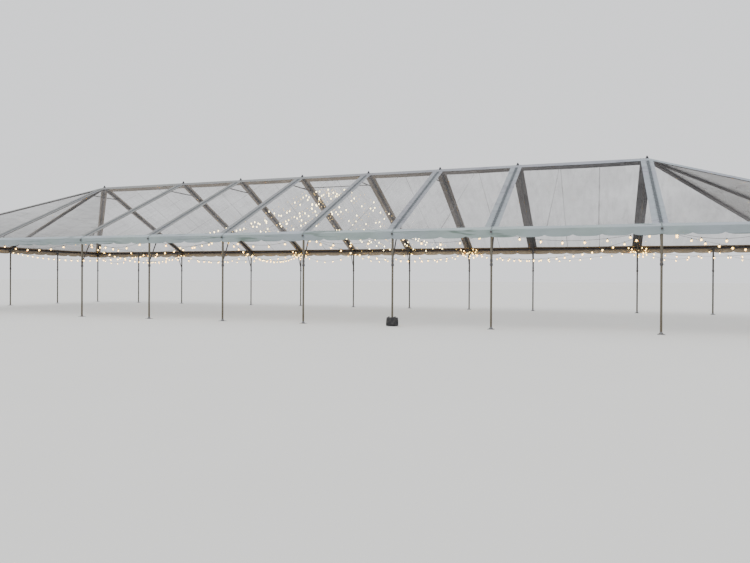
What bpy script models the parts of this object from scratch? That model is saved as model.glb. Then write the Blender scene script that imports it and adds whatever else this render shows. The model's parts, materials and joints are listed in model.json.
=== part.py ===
"""Clear-roofed frame marquee with hipped ends, open on all sides, in metres with +Z up.

The origin is on the ground in the middle of the floor. X runs along the ridge and -Y is the front.
The frame is tube and cast fittings: the ridge and the eave rails carry the fittings, and the rafter
frames, hip rafters and legs meet them end to end.
"""

import math

import bmesh
import bpy
from mathutils import Matrix, Vector

# Plan of the frame, measured between the centre lines of its tubes.
BAY = 3.048
MIDDLE_BAYS = 5
OUTER_BAY = 4.572
HIP_RUN = 6.096
HIP_LEG_SPACING = 3.048
HALF_WIDTH = 6.096

# Heights of the tube centre lines above the ground.
RIDGE_HEIGHT = 5.815
EAVE_HEIGHT = 2.90

# Frame tubes.
MAIN_TUBE_RADIUS = 0.038
TIE_RADIUS = 0.022
TIE_DROP = 0.45
BRACE_RADIUS = 0.019
BRACE_HEIGHT = 2.02
BRACE_REACH = 0.60
LIGHT_BAR_RADIUS = 0.016

# Cast fittings, which sleeve over the ends of the tubes.
SLEEVE_RADIUS = 0.046
SLEEVE_HALF_LENGTH = 0.15
END_SLEEVE_LENGTH = 0.30
ARM_RADIUS = 0.043
RAFTER_ARM_LENGTH = 0.17
LEG_ARM_RADIUS = 0.044
LEG_ARM_LENGTH = 0.13
RIDGE_PIN_RADIUS = 0.018
RIDGE_PIN_RISE = 0.08

# Telescopic legs.
UPPER_LEG_RADIUS = 0.036
LOWER_LEG_RADIUS = 0.029
LEG_JOINT_HEIGHT = 1.86
LEG_COLLAR_RADIUS = 0.044
LEG_COLLAR_LENGTH = 0.08
FOOT_WIDTH = 0.20
FOOT_THICKNESS = 0.010

# Ballast bag on one front leg.
WEIGHT_LEG = 8
WEIGHT_WIDTH = 0.36
WEIGHT_DEPTH = 0.19
WEIGHT_HEIGHT = 0.27
WEIGHT_ROUNDING = 0.05
WEIGHT_ROUNDING_STEPS = 2

# Roof cover, one sheet of vinyl for each slope with its valance.
COVER_THICKNESS = 0.004
EAVE_CLEARANCE = 0.021
VALANCE_DROP = 0.245
HIP_EDGE_GAP = 0.006
RIDGE_EDGE_GAP = 0.025
APEX_GAP = 0.04

# Festoon light strings.
CORD_DIAMETER = 0.009
FRONT_SAG = 0.30
BACK_SAG = 0.46
CROSS_SAG = 0.56
CROSS_SAG_SHARE = 0.045
SIDE_HOOK_DROP = 0.03
CORNER_HOOK_DROP = 0.09
CROSS_HOOK_DROP = 0.08
CROSS_TURN_DEPTH = 0.05
CROSS_TURN_HALF_WIDTH = 0.03
SWAG_STEPS = 6
CROSS_STEPS = 9

# Clearance between pieces that touch.
SEAT_GAP = 0.0003

TUBE_SIDES = 12
SMALL_TUBE_SIDES = 8
LEG_SIDES = 10
CORD_SEGMENTS = 2

RIDGE_END = MIDDLE_BAYS * BAY / 2 + OUTER_BAY
EAVE_END = RIDGE_END + HIP_RUN
EAVE_OVERHANG = LEG_ARM_RADIUS + EAVE_CLEARANCE
SIDE_SLOPE = (RIDGE_HEIGHT - EAVE_HEIGHT) / HALF_WIDTH
END_SLOPE = (RIDGE_HEIGHT - EAVE_HEIGHT) / HIP_RUN
HIP_RATIO = HIP_RUN / HALF_WIDTH
MIDDLE_FRAMES = [(i - MIDDLE_BAYS / 2) * BAY for i in range(MIDDLE_BAYS + 1)]
FRAME_X = [-RIDGE_END, *MIDDLE_FRAMES, RIDGE_END]
HIP_LEG_X = RIDGE_END + HIP_LEG_SPACING
SIDE_LEG_X = [-EAVE_END, -HIP_LEG_X, *FRAME_X, HIP_LEG_X, EAVE_END]
END_LEG_Y = [-HIP_LEG_SPACING, 0, HIP_LEG_SPACING]

ALUMINIUM = ("frame_aluminium", (0.52, 0.54, 0.55), 0.38, 0.9)
VINYL = ("clear_vinyl", (0.72, 0.76, 0.77), 0.2, 0.0)
CANVAS_BLACK = ("ballast_bag", (0.03, 0.03, 0.035), 0.8, 0.0)
CABLE = ("light_cable", (0.05, 0.05, 0.045), 0.5, 0.0)


def material(finish):
    name, colour, roughness, metallic = finish
    found = bpy.data.materials.get(name)
    if found:
        return found
    made = bpy.data.materials.new(name)
    made.use_nodes = True
    shader = made.node_tree.nodes["Principled BSDF"]
    shader.inputs["Base Color"].default_value = (*colour, 1.0)
    shader.inputs["Roughness"].default_value = roughness
    shader.inputs["Metallic"].default_value = metallic
    return made


def start_scene():
    """Clears the scene and returns the collection that the marquee goes in."""
    for old in list(bpy.data.objects):
        bpy.data.objects.remove(old)
    marquee = bpy.data.collections.new("marquee")
    bpy.context.scene.collection.children.link(marquee)
    return marquee


def add_piece(collection, name, mesh, finish, place=(0, 0, 0)):
    piece = bpy.data.objects.new(name, mesh)
    piece.location = place
    if not mesh.materials:
        mesh.materials.append(material(finish))
    collection.objects.link(piece)
    return piece


def mesh_from(name, build):
    """A mesh made by build, which fills the bmesh that it is given."""
    shape = bmesh.new()
    build(shape)
    mesh = bpy.data.meshes.new(name)
    shape.to_mesh(mesh)
    shape.free()
    return mesh


def rod(start, end, radius, sides=TUBE_SIDES):
    """A closed round bar between two points."""
    start = Vector(start)
    along = Vector(end) - start
    facing = along.to_track_quat("Z", "Y").to_matrix().to_4x4()
    centre = Matrix.Translation(start + along / 2) @ facing

    def build(shape):
        bmesh.ops.create_cone(
            shape,
            cap_ends=True,
            segments=sides,
            radius1=radius,
            radius2=radius,
            depth=along.length,
            matrix=centre,
        )

    return mesh_from("rod", build)


def block(centre, size):
    def build(shape):
        scaled = Matrix.Translation(centre) @ Matrix.Diagonal((*size, 1.0))
        bmesh.ops.create_cube(shape, size=1.0, matrix=scaled)

    return mesh_from("block", build)


def evaluated_mesh(obj, name):
    """The object's mesh with its modifiers applied."""
    graph = bpy.context.evaluated_depsgraph_get()
    made = bpy.data.meshes.new_from_object(obj.evaluated_get(graph))
    made.name = name
    return made


def combined(name, meshes, operation="UNION"):
    """The first mesh joined with the others, or cut by them, as one closed body."""
    helpers = bpy.data.collections.new(name + "_helpers")
    bpy.context.scene.collection.children.link(helpers)
    base = bpy.data.objects.new(name + "_base", meshes[0])
    bpy.context.scene.collection.objects.link(base)
    for mesh in meshes[1:]:
        helper = bpy.data.objects.new("helper", mesh)
        helper.hide_render = True
        helper.display_type = "WIRE"
        helpers.objects.link(helper)
    modifier = base.modifiers.new("join", "BOOLEAN")
    modifier.operation = operation
    modifier.solver = "EXACT"
    modifier.operand_type = "COLLECTION"
    modifier.collection = helpers
    made = evaluated_mesh(base, name)
    for helper in list(helpers.objects):
        bpy.data.objects.remove(helper)
    bpy.data.objects.remove(base)
    bpy.data.collections.remove(helpers)
    return made


def turned(name, profile, sides):
    """A body turned about Z from (radius, height) points that run from the top down."""

    def build(shape):
        points = [shape.verts.new((radius, 0, height)) for radius, height in profile]
        for upper, lower in zip(points, points[1:]):
            shape.edges.new((upper, lower))

    holder = bpy.data.objects.new(name, mesh_from(name, build))
    bpy.context.scene.collection.objects.link(holder)
    screw = holder.modifiers.new("turn", "SCREW")
    screw.steps = sides
    screw.render_steps = sides
    screw.use_merge_vertices = True
    screw.merge_threshold = 0.00005
    made = evaluated_mesh(holder, name)
    bpy.data.objects.remove(holder)
    return made


def side_rafter_direction(side):
    """Unit vector down a slope from the ridge: side is -1 at the front and 1 at the back."""
    return Vector((0, side * HALF_WIDTH, EAVE_HEIGHT - RIDGE_HEIGHT)).normalized()


def hip_direction(end, side):
    return Vector((end * HIP_RUN, side * HALF_WIDTH, EAVE_HEIGHT - RIDGE_HEIGHT)).normalized()


def end_rafter_direction(end):
    return Vector((end * HIP_RUN, 0, EAVE_HEIGHT - RIDGE_HEIGHT)).normalized()


def ridge_point(x):
    return Vector((x, 0, RIDGE_HEIGHT))


def eave_point(x, y):
    return Vector((x, y, EAVE_HEIGHT))


def tube_between_arms(start, end):
    """A main tube whose ends stop at the arms of the fittings at two points."""
    along = (end - start).normalized()
    inset = along * (RAFTER_ARM_LENGTH + SEAT_GAP)
    return rod(start + inset, end - inset, MAIN_TUBE_RADIUS)


def arm(point, direction, length=RAFTER_ARM_LENGTH, radius=ARM_RADIUS):
    return rod(point, point + direction * length, radius, SMALL_TUBE_SIDES)


def sleeve(x, y, z, axis):
    half = Vector(axis) * SLEEVE_HALF_LENGTH
    centre = Vector((x, y, z))
    return rod(centre - half, centre + half, SLEEVE_RADIUS, TUBE_SIDES)


def add_ridge(collection):
    """Ridge tube with a crown fitting and a pin at each frame, and five-way crowns at its ends."""
    pieces = [rod(ridge_point(-RIDGE_END), ridge_point(RIDGE_END), MAIN_TUBE_RADIUS)]
    cover_lift = SLEEVE_RADIUS * math.hypot(1, SIDE_SLOPE) + COVER_THICKNESS
    for x in FRAME_X:
        crown = ridge_point(x)
        tip = crown + Vector((0, 0, cover_lift + RIDGE_PIN_RISE))
        pieces.append(rod(crown, tip, RIDGE_PIN_RADIUS, SMALL_TUBE_SIDES))
        for side in (-1, 1):
            pieces.append(arm(crown, side_rafter_direction(side)))
    for x in MIDDLE_FRAMES:
        pieces.append(sleeve(x, 0, RIDGE_HEIGHT, (1, 0, 0)))
    for end in (-1, 1):
        crown = ridge_point(end * RIDGE_END)
        inner = crown - Vector((end * END_SLEEVE_LENGTH, 0, 0))
        pieces.append(rod(inner, crown, SLEEVE_RADIUS))
        pieces.append(arm(crown, end_rafter_direction(end)))
        for side in (-1, 1):
            pieces.append(arm(crown, hip_direction(end, side)))
    add_piece(collection, "ridge_tube", combined("ridge_tube", pieces), ALUMINIUM)


def add_side_rail(collection, name, side):
    """Long eave rail from corner to corner, with a fitting over every leg."""
    down = Vector((0, 0, -1))
    y = side * HALF_WIDTH
    pieces = [rod(eave_point(-EAVE_END, y), eave_point(EAVE_END, y), MAIN_TUBE_RADIUS)]
    for x in SIDE_LEG_X:
        pieces.append(arm(eave_point(x, y), down, LEG_ARM_LENGTH, LEG_ARM_RADIUS))
    for x in SIDE_LEG_X[1:-1]:
        pieces.append(sleeve(x, y, EAVE_HEIGHT, (1, 0, 0)))
    for x in FRAME_X:
        pieces.append(arm(eave_point(x, y), -side_rafter_direction(side)))
    for end in (-1, 1):
        corner = eave_point(end * EAVE_END, y)
        pieces.append(arm(corner, Vector((0, -side, 0))))
        pieces.append(arm(corner, -hip_direction(end, side)))
        inner = corner - Vector((end * END_SLEEVE_LENGTH, 0, 0))
        pieces.append(rod(inner, corner, SLEEVE_RADIUS))
    add_piece(collection, name, combined(name, pieces), ALUMINIUM)


def add_end_rail(collection, name, end):
    """Short eave rail between two corner fittings, with a fitting over each leg between them."""
    down = Vector((0, 0, -1))
    x = end * EAVE_END
    reach = HALF_WIDTH - RAFTER_ARM_LENGTH - SEAT_GAP
    pieces = [
        rod(eave_point(x, -reach), eave_point(x, reach), MAIN_TUBE_RADIUS),
        arm(eave_point(x, 0), -end_rafter_direction(end)),
    ]
    for y in END_LEG_Y:
        pieces.append(sleeve(x, y, EAVE_HEIGHT, (0, 1, 0)))
        pieces.append(arm(eave_point(x, y), down, LEG_ARM_LENGTH, LEG_ARM_RADIUS))
    add_piece(collection, name, combined(name, pieces), ALUMINIUM)


def rafter_frame_mesh():
    """Front and back rafter with the collar tie and the two knee braces, on the plane X = 0."""
    ridge = ridge_point(0)
    tie_height = RIDGE_HEIGHT - TIE_DROP
    tie_half = TIE_DROP / SIDE_SLOPE
    tie_ends = [(0, -tie_half, tie_height), (0, tie_half, tie_height)]
    pieces = [
        tube_between_arms(ridge, eave_point(0, -HALF_WIDTH)),
        rod(*tie_ends, TIE_RADIUS, SMALL_TUBE_SIDES),
        tube_between_arms(ridge, eave_point(0, HALF_WIDTH)),
    ]
    for side in (-1, 1):
        top = Vector((0, side * (HALF_WIDTH - BRACE_REACH), EAVE_HEIGHT + BRACE_REACH * SIDE_SLOPE))
        foot = Vector((0, side * HALF_WIDTH, BRACE_HEIGHT))
        along = (top - foot).normalized()
        clear = UPPER_LEG_RADIUS + BRACE_RADIUS * along.z + SEAT_GAP
        foot += along * (clear / abs(along.y))
        pieces.append(rod(foot, top, BRACE_RADIUS, SMALL_TUBE_SIDES))
    return combined("rafter_frame", pieces)


def add_frames(collection):
    mesh = rafter_frame_mesh()
    for number, x in enumerate(FRAME_X, start=1):
        add_piece(collection, f"rafter_frame_{number}", mesh, ALUMINIUM, (x, 0, 0))


def add_hip_rafters(collection):
    for end, end_name in ((-1, "left"), (1, "right")):
        crown = ridge_point(end * RIDGE_END)
        middle = tube_between_arms(crown, eave_point(end * EAVE_END, 0))
        add_piece(collection, f"{end_name}_end_rafter", middle, ALUMINIUM)
        for side, side_name in ((-1, "front"), (1, "back")):
            hip = tube_between_arms(crown, eave_point(end * EAVE_END, side * HALF_WIDTH))
            add_piece(collection, f"{side_name}_{end_name}_hip_rafter", hip, ALUMINIUM)


def leg_mesh():
    """A telescopic leg on its foot plate, at the origin."""
    top = EAVE_HEIGHT - LEG_ARM_LENGTH - SEAT_GAP
    collar_top = LEG_JOINT_HEIGHT + LEG_COLLAR_LENGTH
    profile = [
        (0, top),
        (UPPER_LEG_RADIUS, top),
        (UPPER_LEG_RADIUS, collar_top),
        (LEG_COLLAR_RADIUS, collar_top),
        (LEG_COLLAR_RADIUS, LEG_JOINT_HEIGHT),
        (LOWER_LEG_RADIUS, LEG_JOINT_HEIGHT),
        (LOWER_LEG_RADIUS, FOOT_THICKNESS / 2),
        (0, FOOT_THICKNESS / 2),
    ]
    plate = block((0, 0, FOOT_THICKNESS / 2), (FOOT_WIDTH, FOOT_WIDTH, FOOT_THICKNESS))
    return combined("leg", [plate, turned("leg_tube", profile, LEG_SIDES)])


def add_legs(collection):
    mesh = leg_mesh()
    for side, side_name in ((-1, "front"), (1, "back")):
        for number, x in enumerate(SIDE_LEG_X, start=1):
            place = (x, side * HALF_WIDTH, 0)
            add_piece(collection, f"{side_name}_leg_{number}", mesh, ALUMINIUM, place)
    for end, end_name in ((-1, "left"), (1, "right")):
        for number, y in enumerate(END_LEG_Y, start=1):
            place = (end * EAVE_END, y, 0)
            add_piece(collection, f"{end_name}_end_leg_{number}", mesh, ALUMINIUM, place)


def add_leg_weight(collection):
    """Ballast bag that sits on one foot plate and hugs the leg, with a channel open to the inside."""
    size = (WEIGHT_WIDTH, WEIGHT_DEPTH, WEIGHT_HEIGHT)
    middle = FOOT_THICKNESS + SEAT_GAP + WEIGHT_HEIGHT / 2

    def build(shape):
        place = Matrix.Translation((0, 0, middle)) @ Matrix.Diagonal((*size, 1.0))
        bmesh.ops.create_cube(shape, size=1.0, matrix=place)
        upper = [e for e in shape.edges if max(v.co.z for v in e.verts) > middle]
        bmesh.ops.bevel(
            shape,
            geom=upper,
            offset=WEIGHT_ROUNDING,
            segments=WEIGHT_ROUNDING_STEPS,
            profile=0.5,
            affect="EDGES",
        )

    channel_half = LOWER_LEG_RADIUS + SEAT_GAP
    channel = block(
        (0, WEIGHT_DEPTH / 2 - channel_half, middle),
        (2 * channel_half, WEIGHT_DEPTH, 2 * WEIGHT_HEIGHT),
    )
    weight = combined("leg_weight", [mesh_from("leg_weight_bag", build), channel], "DIFFERENCE")
    place = (SIDE_LEG_X[WEIGHT_LEG - 1], -HALF_WIDTH, 0)
    add_piece(collection, "leg_weight", weight, CANVAS_BLACK, place)


def cover_sheet(top_corners, eave_corners, outward):
    """One slope's sheet and its valance: a plane pulled to the slope, its eave edge extruded down."""

    def build(shape):
        bmesh.ops.create_grid(shape, x_segments=1, y_segments=1, size=0.5)
        shape.verts.ensure_lookup_table()
        low = sorted((v for v in shape.verts if v.co.y < 0), key=lambda v: v.co.x)
        high = sorted((v for v in shape.verts if v.co.y > 0), key=lambda v: v.co.x)
        for vertex, corner in zip(low + high, [*eave_corners, *top_corners]):
            vertex.co = corner
        eave_edge = next(e for e in shape.edges if set(e.verts) == set(low))
        extruded = bmesh.ops.extrude_edge_only(shape, edges=[eave_edge])["geom"]
        hem = [v for v in extruded if isinstance(v, bmesh.types.BMVert)]
        bmesh.ops.translate(shape, vec=(0, 0, -VALANCE_DROP), verts=hem)
        bmesh.ops.recalc_face_normals(shape, faces=shape.faces)
        shape.faces.ensure_lookup_table()
        shape.normal_update()
        if shape.faces[0].normal.dot(outward) < 0:
            bmesh.ops.reverse_faces(shape, faces=shape.faces)

    return mesh_from("cover", build)


def add_cover(collection, name, mesh):
    cover = add_piece(collection, name, mesh, VINYL)
    wall = cover.modifiers.new("thickness", "SOLIDIFY")
    wall.thickness = COVER_THICKNESS
    wall.offset = 1.0
    wall.use_even_offset = True


def add_side_cover(collection, name, side):
    lift = (SLEEVE_RADIUS + SEAT_GAP) * math.hypot(1, SIDE_SLOPE)

    def corner(end, run):
        x = end * (RIDGE_END + run * HIP_RATIO - HIP_EDGE_GAP)
        return Vector((x, side * run, RIDGE_HEIGHT - run * SIDE_SLOPE + lift))

    top = [corner(-1, RIDGE_EDGE_GAP), corner(1, RIDGE_EDGE_GAP)]
    eave = [corner(-1, HALF_WIDTH + EAVE_OVERHANG), corner(1, HALF_WIDTH + EAVE_OVERHANG)]
    add_cover(collection, name, cover_sheet(top, eave, Vector((0, side * SIDE_SLOPE, 1))))


def add_end_cover(collection, name, end):
    lift = (SLEEVE_RADIUS + SEAT_GAP) * math.hypot(1, END_SLOPE)

    def corner(side, run):
        y = side * (run / HIP_RATIO - HIP_EDGE_GAP)
        return Vector((end * (RIDGE_END + run), y, RIDGE_HEIGHT - run * END_SLOPE + lift))

    edge_run = HIP_RUN + EAVE_OVERHANG * HIP_RATIO
    top = [corner(-1, APEX_GAP), corner(1, APEX_GAP)]
    eave = [corner(-1, edge_run), corner(1, edge_run)]
    add_cover(collection, name, cover_sheet(top, eave, Vector((end * END_SLOPE, 0, 1))))


def swag(start, end, sag, steps):
    """Points after start, up to and with end, of a cord that hangs between the two."""
    points = []
    for step in range(1, steps + 1):
        share = step / steps
        point = start.lerp(end, share)
        point.z -= 4 * sag * share * (1 - share)
        points.append(point)
    return points


def inward_from(x, y):
    """Unit vector from the leg at (x, y) into the tent, across the eave rail that it carries."""
    if y:
        return Vector((0, math.copysign(1, -y), 0))
    return Vector((math.copysign(1, -x), 0, 0))


def hook(x, y, drop):
    """Where a light string is tied to the inner side of the fitting over the leg at (x, y)."""
    reach = LEG_ARM_RADIUS + CORD_DIAMETER / 2 + SEAT_GAP
    return eave_point(x, y) + inward_from(x, y) * reach - Vector((0, 0, drop))


def add_cord(collection, name, points):
    curve = bpy.data.curves.new(name, "CURVE")
    curve.dimensions = "3D"
    curve.bevel_depth = CORD_DIAMETER / 2
    curve.bevel_resolution = CORD_SEGMENTS
    curve.use_fill_caps = True
    line = curve.splines.new("POLY")
    line.points.add(len(points) - 1)
    for spot, point in zip(line.points, points):
        spot.co = (*point, 1.0)
    curve.materials.append(material(CABLE))
    cord = bpy.data.objects.new(name, curve)
    collection.objects.link(cord)


def add_side_string(collection, name, side, posts, sag):
    """A light string along one eave from corner to corner, tied at the legs whose X is given."""
    hooks = [hook(x, side * HALF_WIDTH, SIDE_HOOK_DROP) for x in posts]
    for corner in (hooks[0], hooks[-1]):
        corner.z = EAVE_HEIGHT - CORNER_HOOK_DROP
    points = [hooks[0]]
    for start, end in zip(hooks, hooks[1:]):
        points += swag(start, end, sag, SWAG_STEPS)
    add_cord(collection, name, points)


def add_cross_string(collection, name, posts):
    """A light string that crosses the tent from leg to leg, posts being the (x, y) of the legs."""
    hooks = [hook(x, y, CROSS_HOOK_DROP) for x, y in posts]
    points = [hooks[0]]
    for (x, y), start, end in zip(posts[1:], hooks, hooks[1:]):
        inward = inward_from(x, y) * CROSS_TURN_DEPTH
        across = Vector((math.copysign(CROSS_TURN_HALF_WIDTH, end.x - start.x), 0, 0))
        if not y:
            across = Vector((0, math.copysign(CROSS_TURN_HALF_WIDTH, end.y - start.y), 0))
        sag = min(CROSS_SAG, CROSS_SAG_SHARE * (end - start).length)
        points += swag(points[-1], end + inward - across, sag, CROSS_STEPS)
        points.append(end)
        if end is not hooks[-1]:
            points.append(end + inward + across)
    add_cord(collection, name, points)


def add_light_strings(collection):
    """Two strings along the eaves, the back one untied at one leg, and two that cross the tent."""
    add_side_string(collection, "front_light_string", -1, SIDE_LEG_X, FRONT_SAG)
    back_posts = [x for x in SIDE_LEG_X if x != FRAME_X[-2]]
    add_side_string(collection, "back_light_string", 1, back_posts, BACK_SAG)
    front = -HALF_WIDTH
    back = HALF_WIDTH
    left_posts = [
        (-EAVE_END, 0),
        (FRAME_X[3], front),
        (FRAME_X[2], back),
        (FRAME_X[1], front),
        (FRAME_X[0], back),
    ]
    right_posts = [
        (FRAME_X[4], front),
        (FRAME_X[5], back),
        (FRAME_X[7], front),
        (EAVE_END, 0),
        (FRAME_X[7], back),
    ]
    add_cross_string(collection, "left_cross_light_string", left_posts)
    add_cross_string(collection, "right_cross_light_string", right_posts)


def add_light_bar(collection):
    """Slim bar between the collar ties of the two frames beside the middle of the tent."""
    inner = MIDDLE_FRAMES[(MIDDLE_BAYS + 1) // 2]
    reach = inner - TIE_RADIUS - SEAT_GAP
    height = RIDGE_HEIGHT - TIE_DROP
    bar = rod((-reach, 0, height), (reach, 0, height), LIGHT_BAR_RADIUS, SMALL_TUBE_SIDES)
    add_piece(collection, "light_bar", bar, ALUMINIUM)


def main():
    marquee = start_scene()
    add_ridge(marquee)
    add_side_rail(marquee, "front_eave_rail", -1)
    add_side_rail(marquee, "back_eave_rail", 1)
    add_end_rail(marquee, "left_eave_rail", -1)
    add_end_rail(marquee, "right_eave_rail", 1)
    add_frames(marquee)
    add_hip_rafters(marquee)
    add_legs(marquee)
    add_leg_weight(marquee)
    add_side_cover(marquee, "front_cover", -1)
    add_side_cover(marquee, "back_cover", 1)
    add_end_cover(marquee, "left_cover", -1)
    add_end_cover(marquee, "right_cover", 1)
    add_light_strings(marquee)
    add_light_bar(marquee)


main()
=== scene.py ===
"""Looks of a clear-roofed frame marquee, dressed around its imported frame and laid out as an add-on.

Everything is in metres in the frame's own axes: X along the ridge, -Y the front, the ground at Z 0.
"""

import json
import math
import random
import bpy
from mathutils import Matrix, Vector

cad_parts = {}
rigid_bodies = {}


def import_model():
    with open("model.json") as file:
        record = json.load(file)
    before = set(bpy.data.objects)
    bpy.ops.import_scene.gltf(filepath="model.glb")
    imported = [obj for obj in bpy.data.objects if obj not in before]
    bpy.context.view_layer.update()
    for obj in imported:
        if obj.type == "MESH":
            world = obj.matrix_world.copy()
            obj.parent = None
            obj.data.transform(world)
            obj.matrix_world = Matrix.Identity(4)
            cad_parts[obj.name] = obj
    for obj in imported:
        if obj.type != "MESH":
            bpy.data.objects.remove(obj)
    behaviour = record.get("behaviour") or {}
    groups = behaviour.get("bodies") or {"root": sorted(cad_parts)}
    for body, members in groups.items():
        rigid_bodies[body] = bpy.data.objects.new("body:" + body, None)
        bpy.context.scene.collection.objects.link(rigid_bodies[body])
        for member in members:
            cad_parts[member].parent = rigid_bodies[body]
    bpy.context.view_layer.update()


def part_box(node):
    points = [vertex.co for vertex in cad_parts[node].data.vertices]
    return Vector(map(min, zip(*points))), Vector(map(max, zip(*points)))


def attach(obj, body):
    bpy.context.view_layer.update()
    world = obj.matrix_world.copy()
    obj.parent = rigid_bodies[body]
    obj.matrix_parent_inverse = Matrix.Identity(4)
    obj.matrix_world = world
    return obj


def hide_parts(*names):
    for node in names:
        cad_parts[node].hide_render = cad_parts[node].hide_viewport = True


bl_info = {
    "name": "Clear-roofed frame marquee",
    "version": (1, 0, 0),
    "blender": (4, 5, 0),
    "location": "3D View > Sidebar > Marquee",
    "description": "Dresses the packed frame of a hipped marquee with its clear roof and lights",
    "category": "Object",
}

import bmesh
import bpy
from bpy.props import FloatProperty, FloatVectorProperty, IntProperty, PointerProperty
from mathutils import Matrix, Vector

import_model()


def middle(node):
    low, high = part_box(node)
    return (low + high) / 2


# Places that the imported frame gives.
SIDE_LEG_X = [middle(f"front_leg_{number}").x for number in range(1, 13)]
END_LEG_Y = [middle(f"left_end_leg_{number}").y for number in range(1, 4)]
FRAME_X = SIDE_LEG_X[2:-2]
HALF_WIDTH = -middle("front_leg_1").y
RIDGE_END = FRAME_X[-1]
EAVE_END = SIDE_LEG_X[-1]

# Heights, lengths and radii of the frame, as in its source.
RIDGE_HEIGHT = 5.815
EAVE_HEIGHT = 2.90
TIE_HEIGHT = 5.365
BRACE_HEIGHT = 2.02
BRACE_REACH = 0.60
SLOPE = (RIDGE_HEIGHT - EAVE_HEIGHT) / HALF_WIDTH
RAFTER_ARM = 0.17
LEG_ARM = 0.13
LEG_ARM_RADIUS = 0.044
SLEEVE_RADIUS = 0.046
SLEEVE_HALF = 0.15
LIP_LENGTH = 0.012
CLAMP_RADIUS = 0.0425
TIE_RADIUS = 0.022
BRACE_RADIUS = 0.019
UPPER_LEG_RADIUS = 0.036
LEG_JOINT_HEIGHT = 1.86
LEG_PIN_HEIGHT = 1.9
COLLAR_LENGTH = 0.08
FOOT_THICKNESS = 0.010
NAIL_PLACE = 0.075
SEAT = 0.0003
COVER_LIFT = (SLEEVE_RADIUS + SEAT) * math.hypot(1, SLOPE)
EAVE_EDGE = HALF_WIDTH + 0.065
DOWN = Vector((0, 0, -1))

# Cast fittings: start, end, radius, where each lip starts, and the heights of the bolts.
FITTINGS = {
    "arm": (0, RAFTER_ARM, 0.043, (RAFTER_ARM - LIP_LENGTH,), (0.12,)),
    "leg_arm": (0, LEG_ARM, LEG_ARM_RADIUS, (LEG_ARM - LIP_LENGTH,), (0.095,)),
    "end_sleeve": (0, 0.30, SLEEVE_RADIUS, (0.30 - LIP_LENGTH,), (0.12, 0.22)),
    "sleeve": (
        -SLEEVE_HALF,
        SLEEVE_HALF,
        SLEEVE_RADIUS,
        (-SLEEVE_HALF, SLEEVE_HALF - LIP_LENGTH),
        (-0.10, 0.10),
    ),
}

# Light strings, as in the frame's source.
CORD_DIAMETER = 0.009
WIRE_DIAMETER = 0.003
FRONT_SAG = 0.30
BACK_SAG = 0.46
CROSS_SAG = 0.56
CROSS_SAG_SHARE = 0.045
SIDE_HOOK_DROP = 0.03
CORNER_HOOK_DROP = 0.09
CROSS_HOOK_DROP = 0.08
CROSS_TURN_DEPTH = 0.05
CROSS_TURN_HALF_WIDTH = 0.03
SPAN_STEPS = 22
LOOP_REACH = 0.38
LOOP_HEIGHT = 0.22
LOOP_TURN = 8.6
LOOP_STEPS = 70
LOOP_LAG = math.radians(70)
STRAND_GAP = 0.2

# Sheets: how far one tucks under the next, thicknesses, and lifts above the cover's plane.
TUCK = 0.015
CLEAR_THICKNESS = 0.0014
FLAP_THICKNESS = 0.0015
STRAP_THICKNESS = 0.002
VALANCE_THICKNESS = 0.0022
BORDER_THICKNESS = 0.0026
FLAP_LIFT = -0.001
CLEAR_LIFT = 0.0026
ODD_EAVE_LIFT = 0.0036
EVEN_EAVE_LIFT = 0.0066
BAND_LIFT = 0.0038
RIDGE_BAND_LIFT = 0.0040
HIP_BAND_LIFT = 0.0042
GROMMET_LIFT = 0.0042
APEX_LIFT = 0.0044
LACE_LIFT = 0.0075
STRAP_LIFT = 0.0095
LACE_PITCH = 0.13
BAND_ROWS = 30
CLEAR_ROWS = 22

# Tones that lie over other finishes.
SOIL = (0.11, 0.085, 0.055)
RUST = (0.15, 0.075, 0.035)
DUST = (0.10, 0.095, 0.085)


def length(name, default, description):
    return FloatProperty(name=name, description=description, default=default, unit="LENGTH")


def number_of(name, default, description):
    return IntProperty(name=name, description=description, default=default)


def colour(name, description, default):
    return FloatVectorProperty(
        name=name, description=description, default=default, size=3, min=0, max=1, subtype="COLOR"
    )


class MarqueeSizes(bpy.types.PropertyGroup):
    """Sizes of the marquee's dressing"""

    tube_radius: length("Tube radius", 0.038, "Outer radius of ridge, rafter and eave tubes")
    tube_wall: length("Tube wall", 0.004, "Thickness of the tube walls that show at open ends")
    lower_leg_radius: length("Lower leg radius", 0.032, "Outer radius of a leg's lower tube")
    front_ridge_band: length("Front ridge band", 0.31, "Level width of the band before the ridge")
    back_ridge_band: length("Back ridge band", 0.365, "Level width of the band behind the ridge")
    rafter_band_left: length("Left rafter band", 0.180, "Width of the band left of each rafter")
    rafter_band_right: length("Right rafter band", 0.135, "Width of the band right of each rafter")
    lace_gap: length("Lace gap", 0.092, "Gap between two laced bands over a rafter")
    end_band: length("End rafter band", 0.115, "Width of each band at the middle of an end")
    end_gap: length("End lace gap", 0.080, "Gap between the laced bands at the middle of an end")
    hip_band: length("Hip band", 0.20, "Width of the band along each side of a hip")
    eave_band: length("Eave band", 0.20, "Level width of the sloped band above the eave")
    valance_drop: length("Valance drop", 0.245, "Height of the valance amid a scallop")
    scallop_rise: length("Scallop rise", 0.055, "Height of the notch between two scallops")
    scallop_width: length("Scallop width", 0.762, "Length of one scallop of the valance")
    roof_sag: FloatProperty(
        name="Roof sag",
        description="Sag of the clear vinyl as a share of the width between two rafters",
        default=0.012,
        subtype="FACTOR",
    )
    bulb_radius: length("Bulb radius", 0.034, "Radius of a festoon bulb")
    lamp_radius: length("Small lamp radius", 0.021, "Radius of a bright lamp in the curtain")
    front_strands: number_of("Front strands", 13, "Strands from the bar to the front eave")
    back_strands: number_of("Back strands", 11, "Strands from the bar to the back eave")


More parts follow.
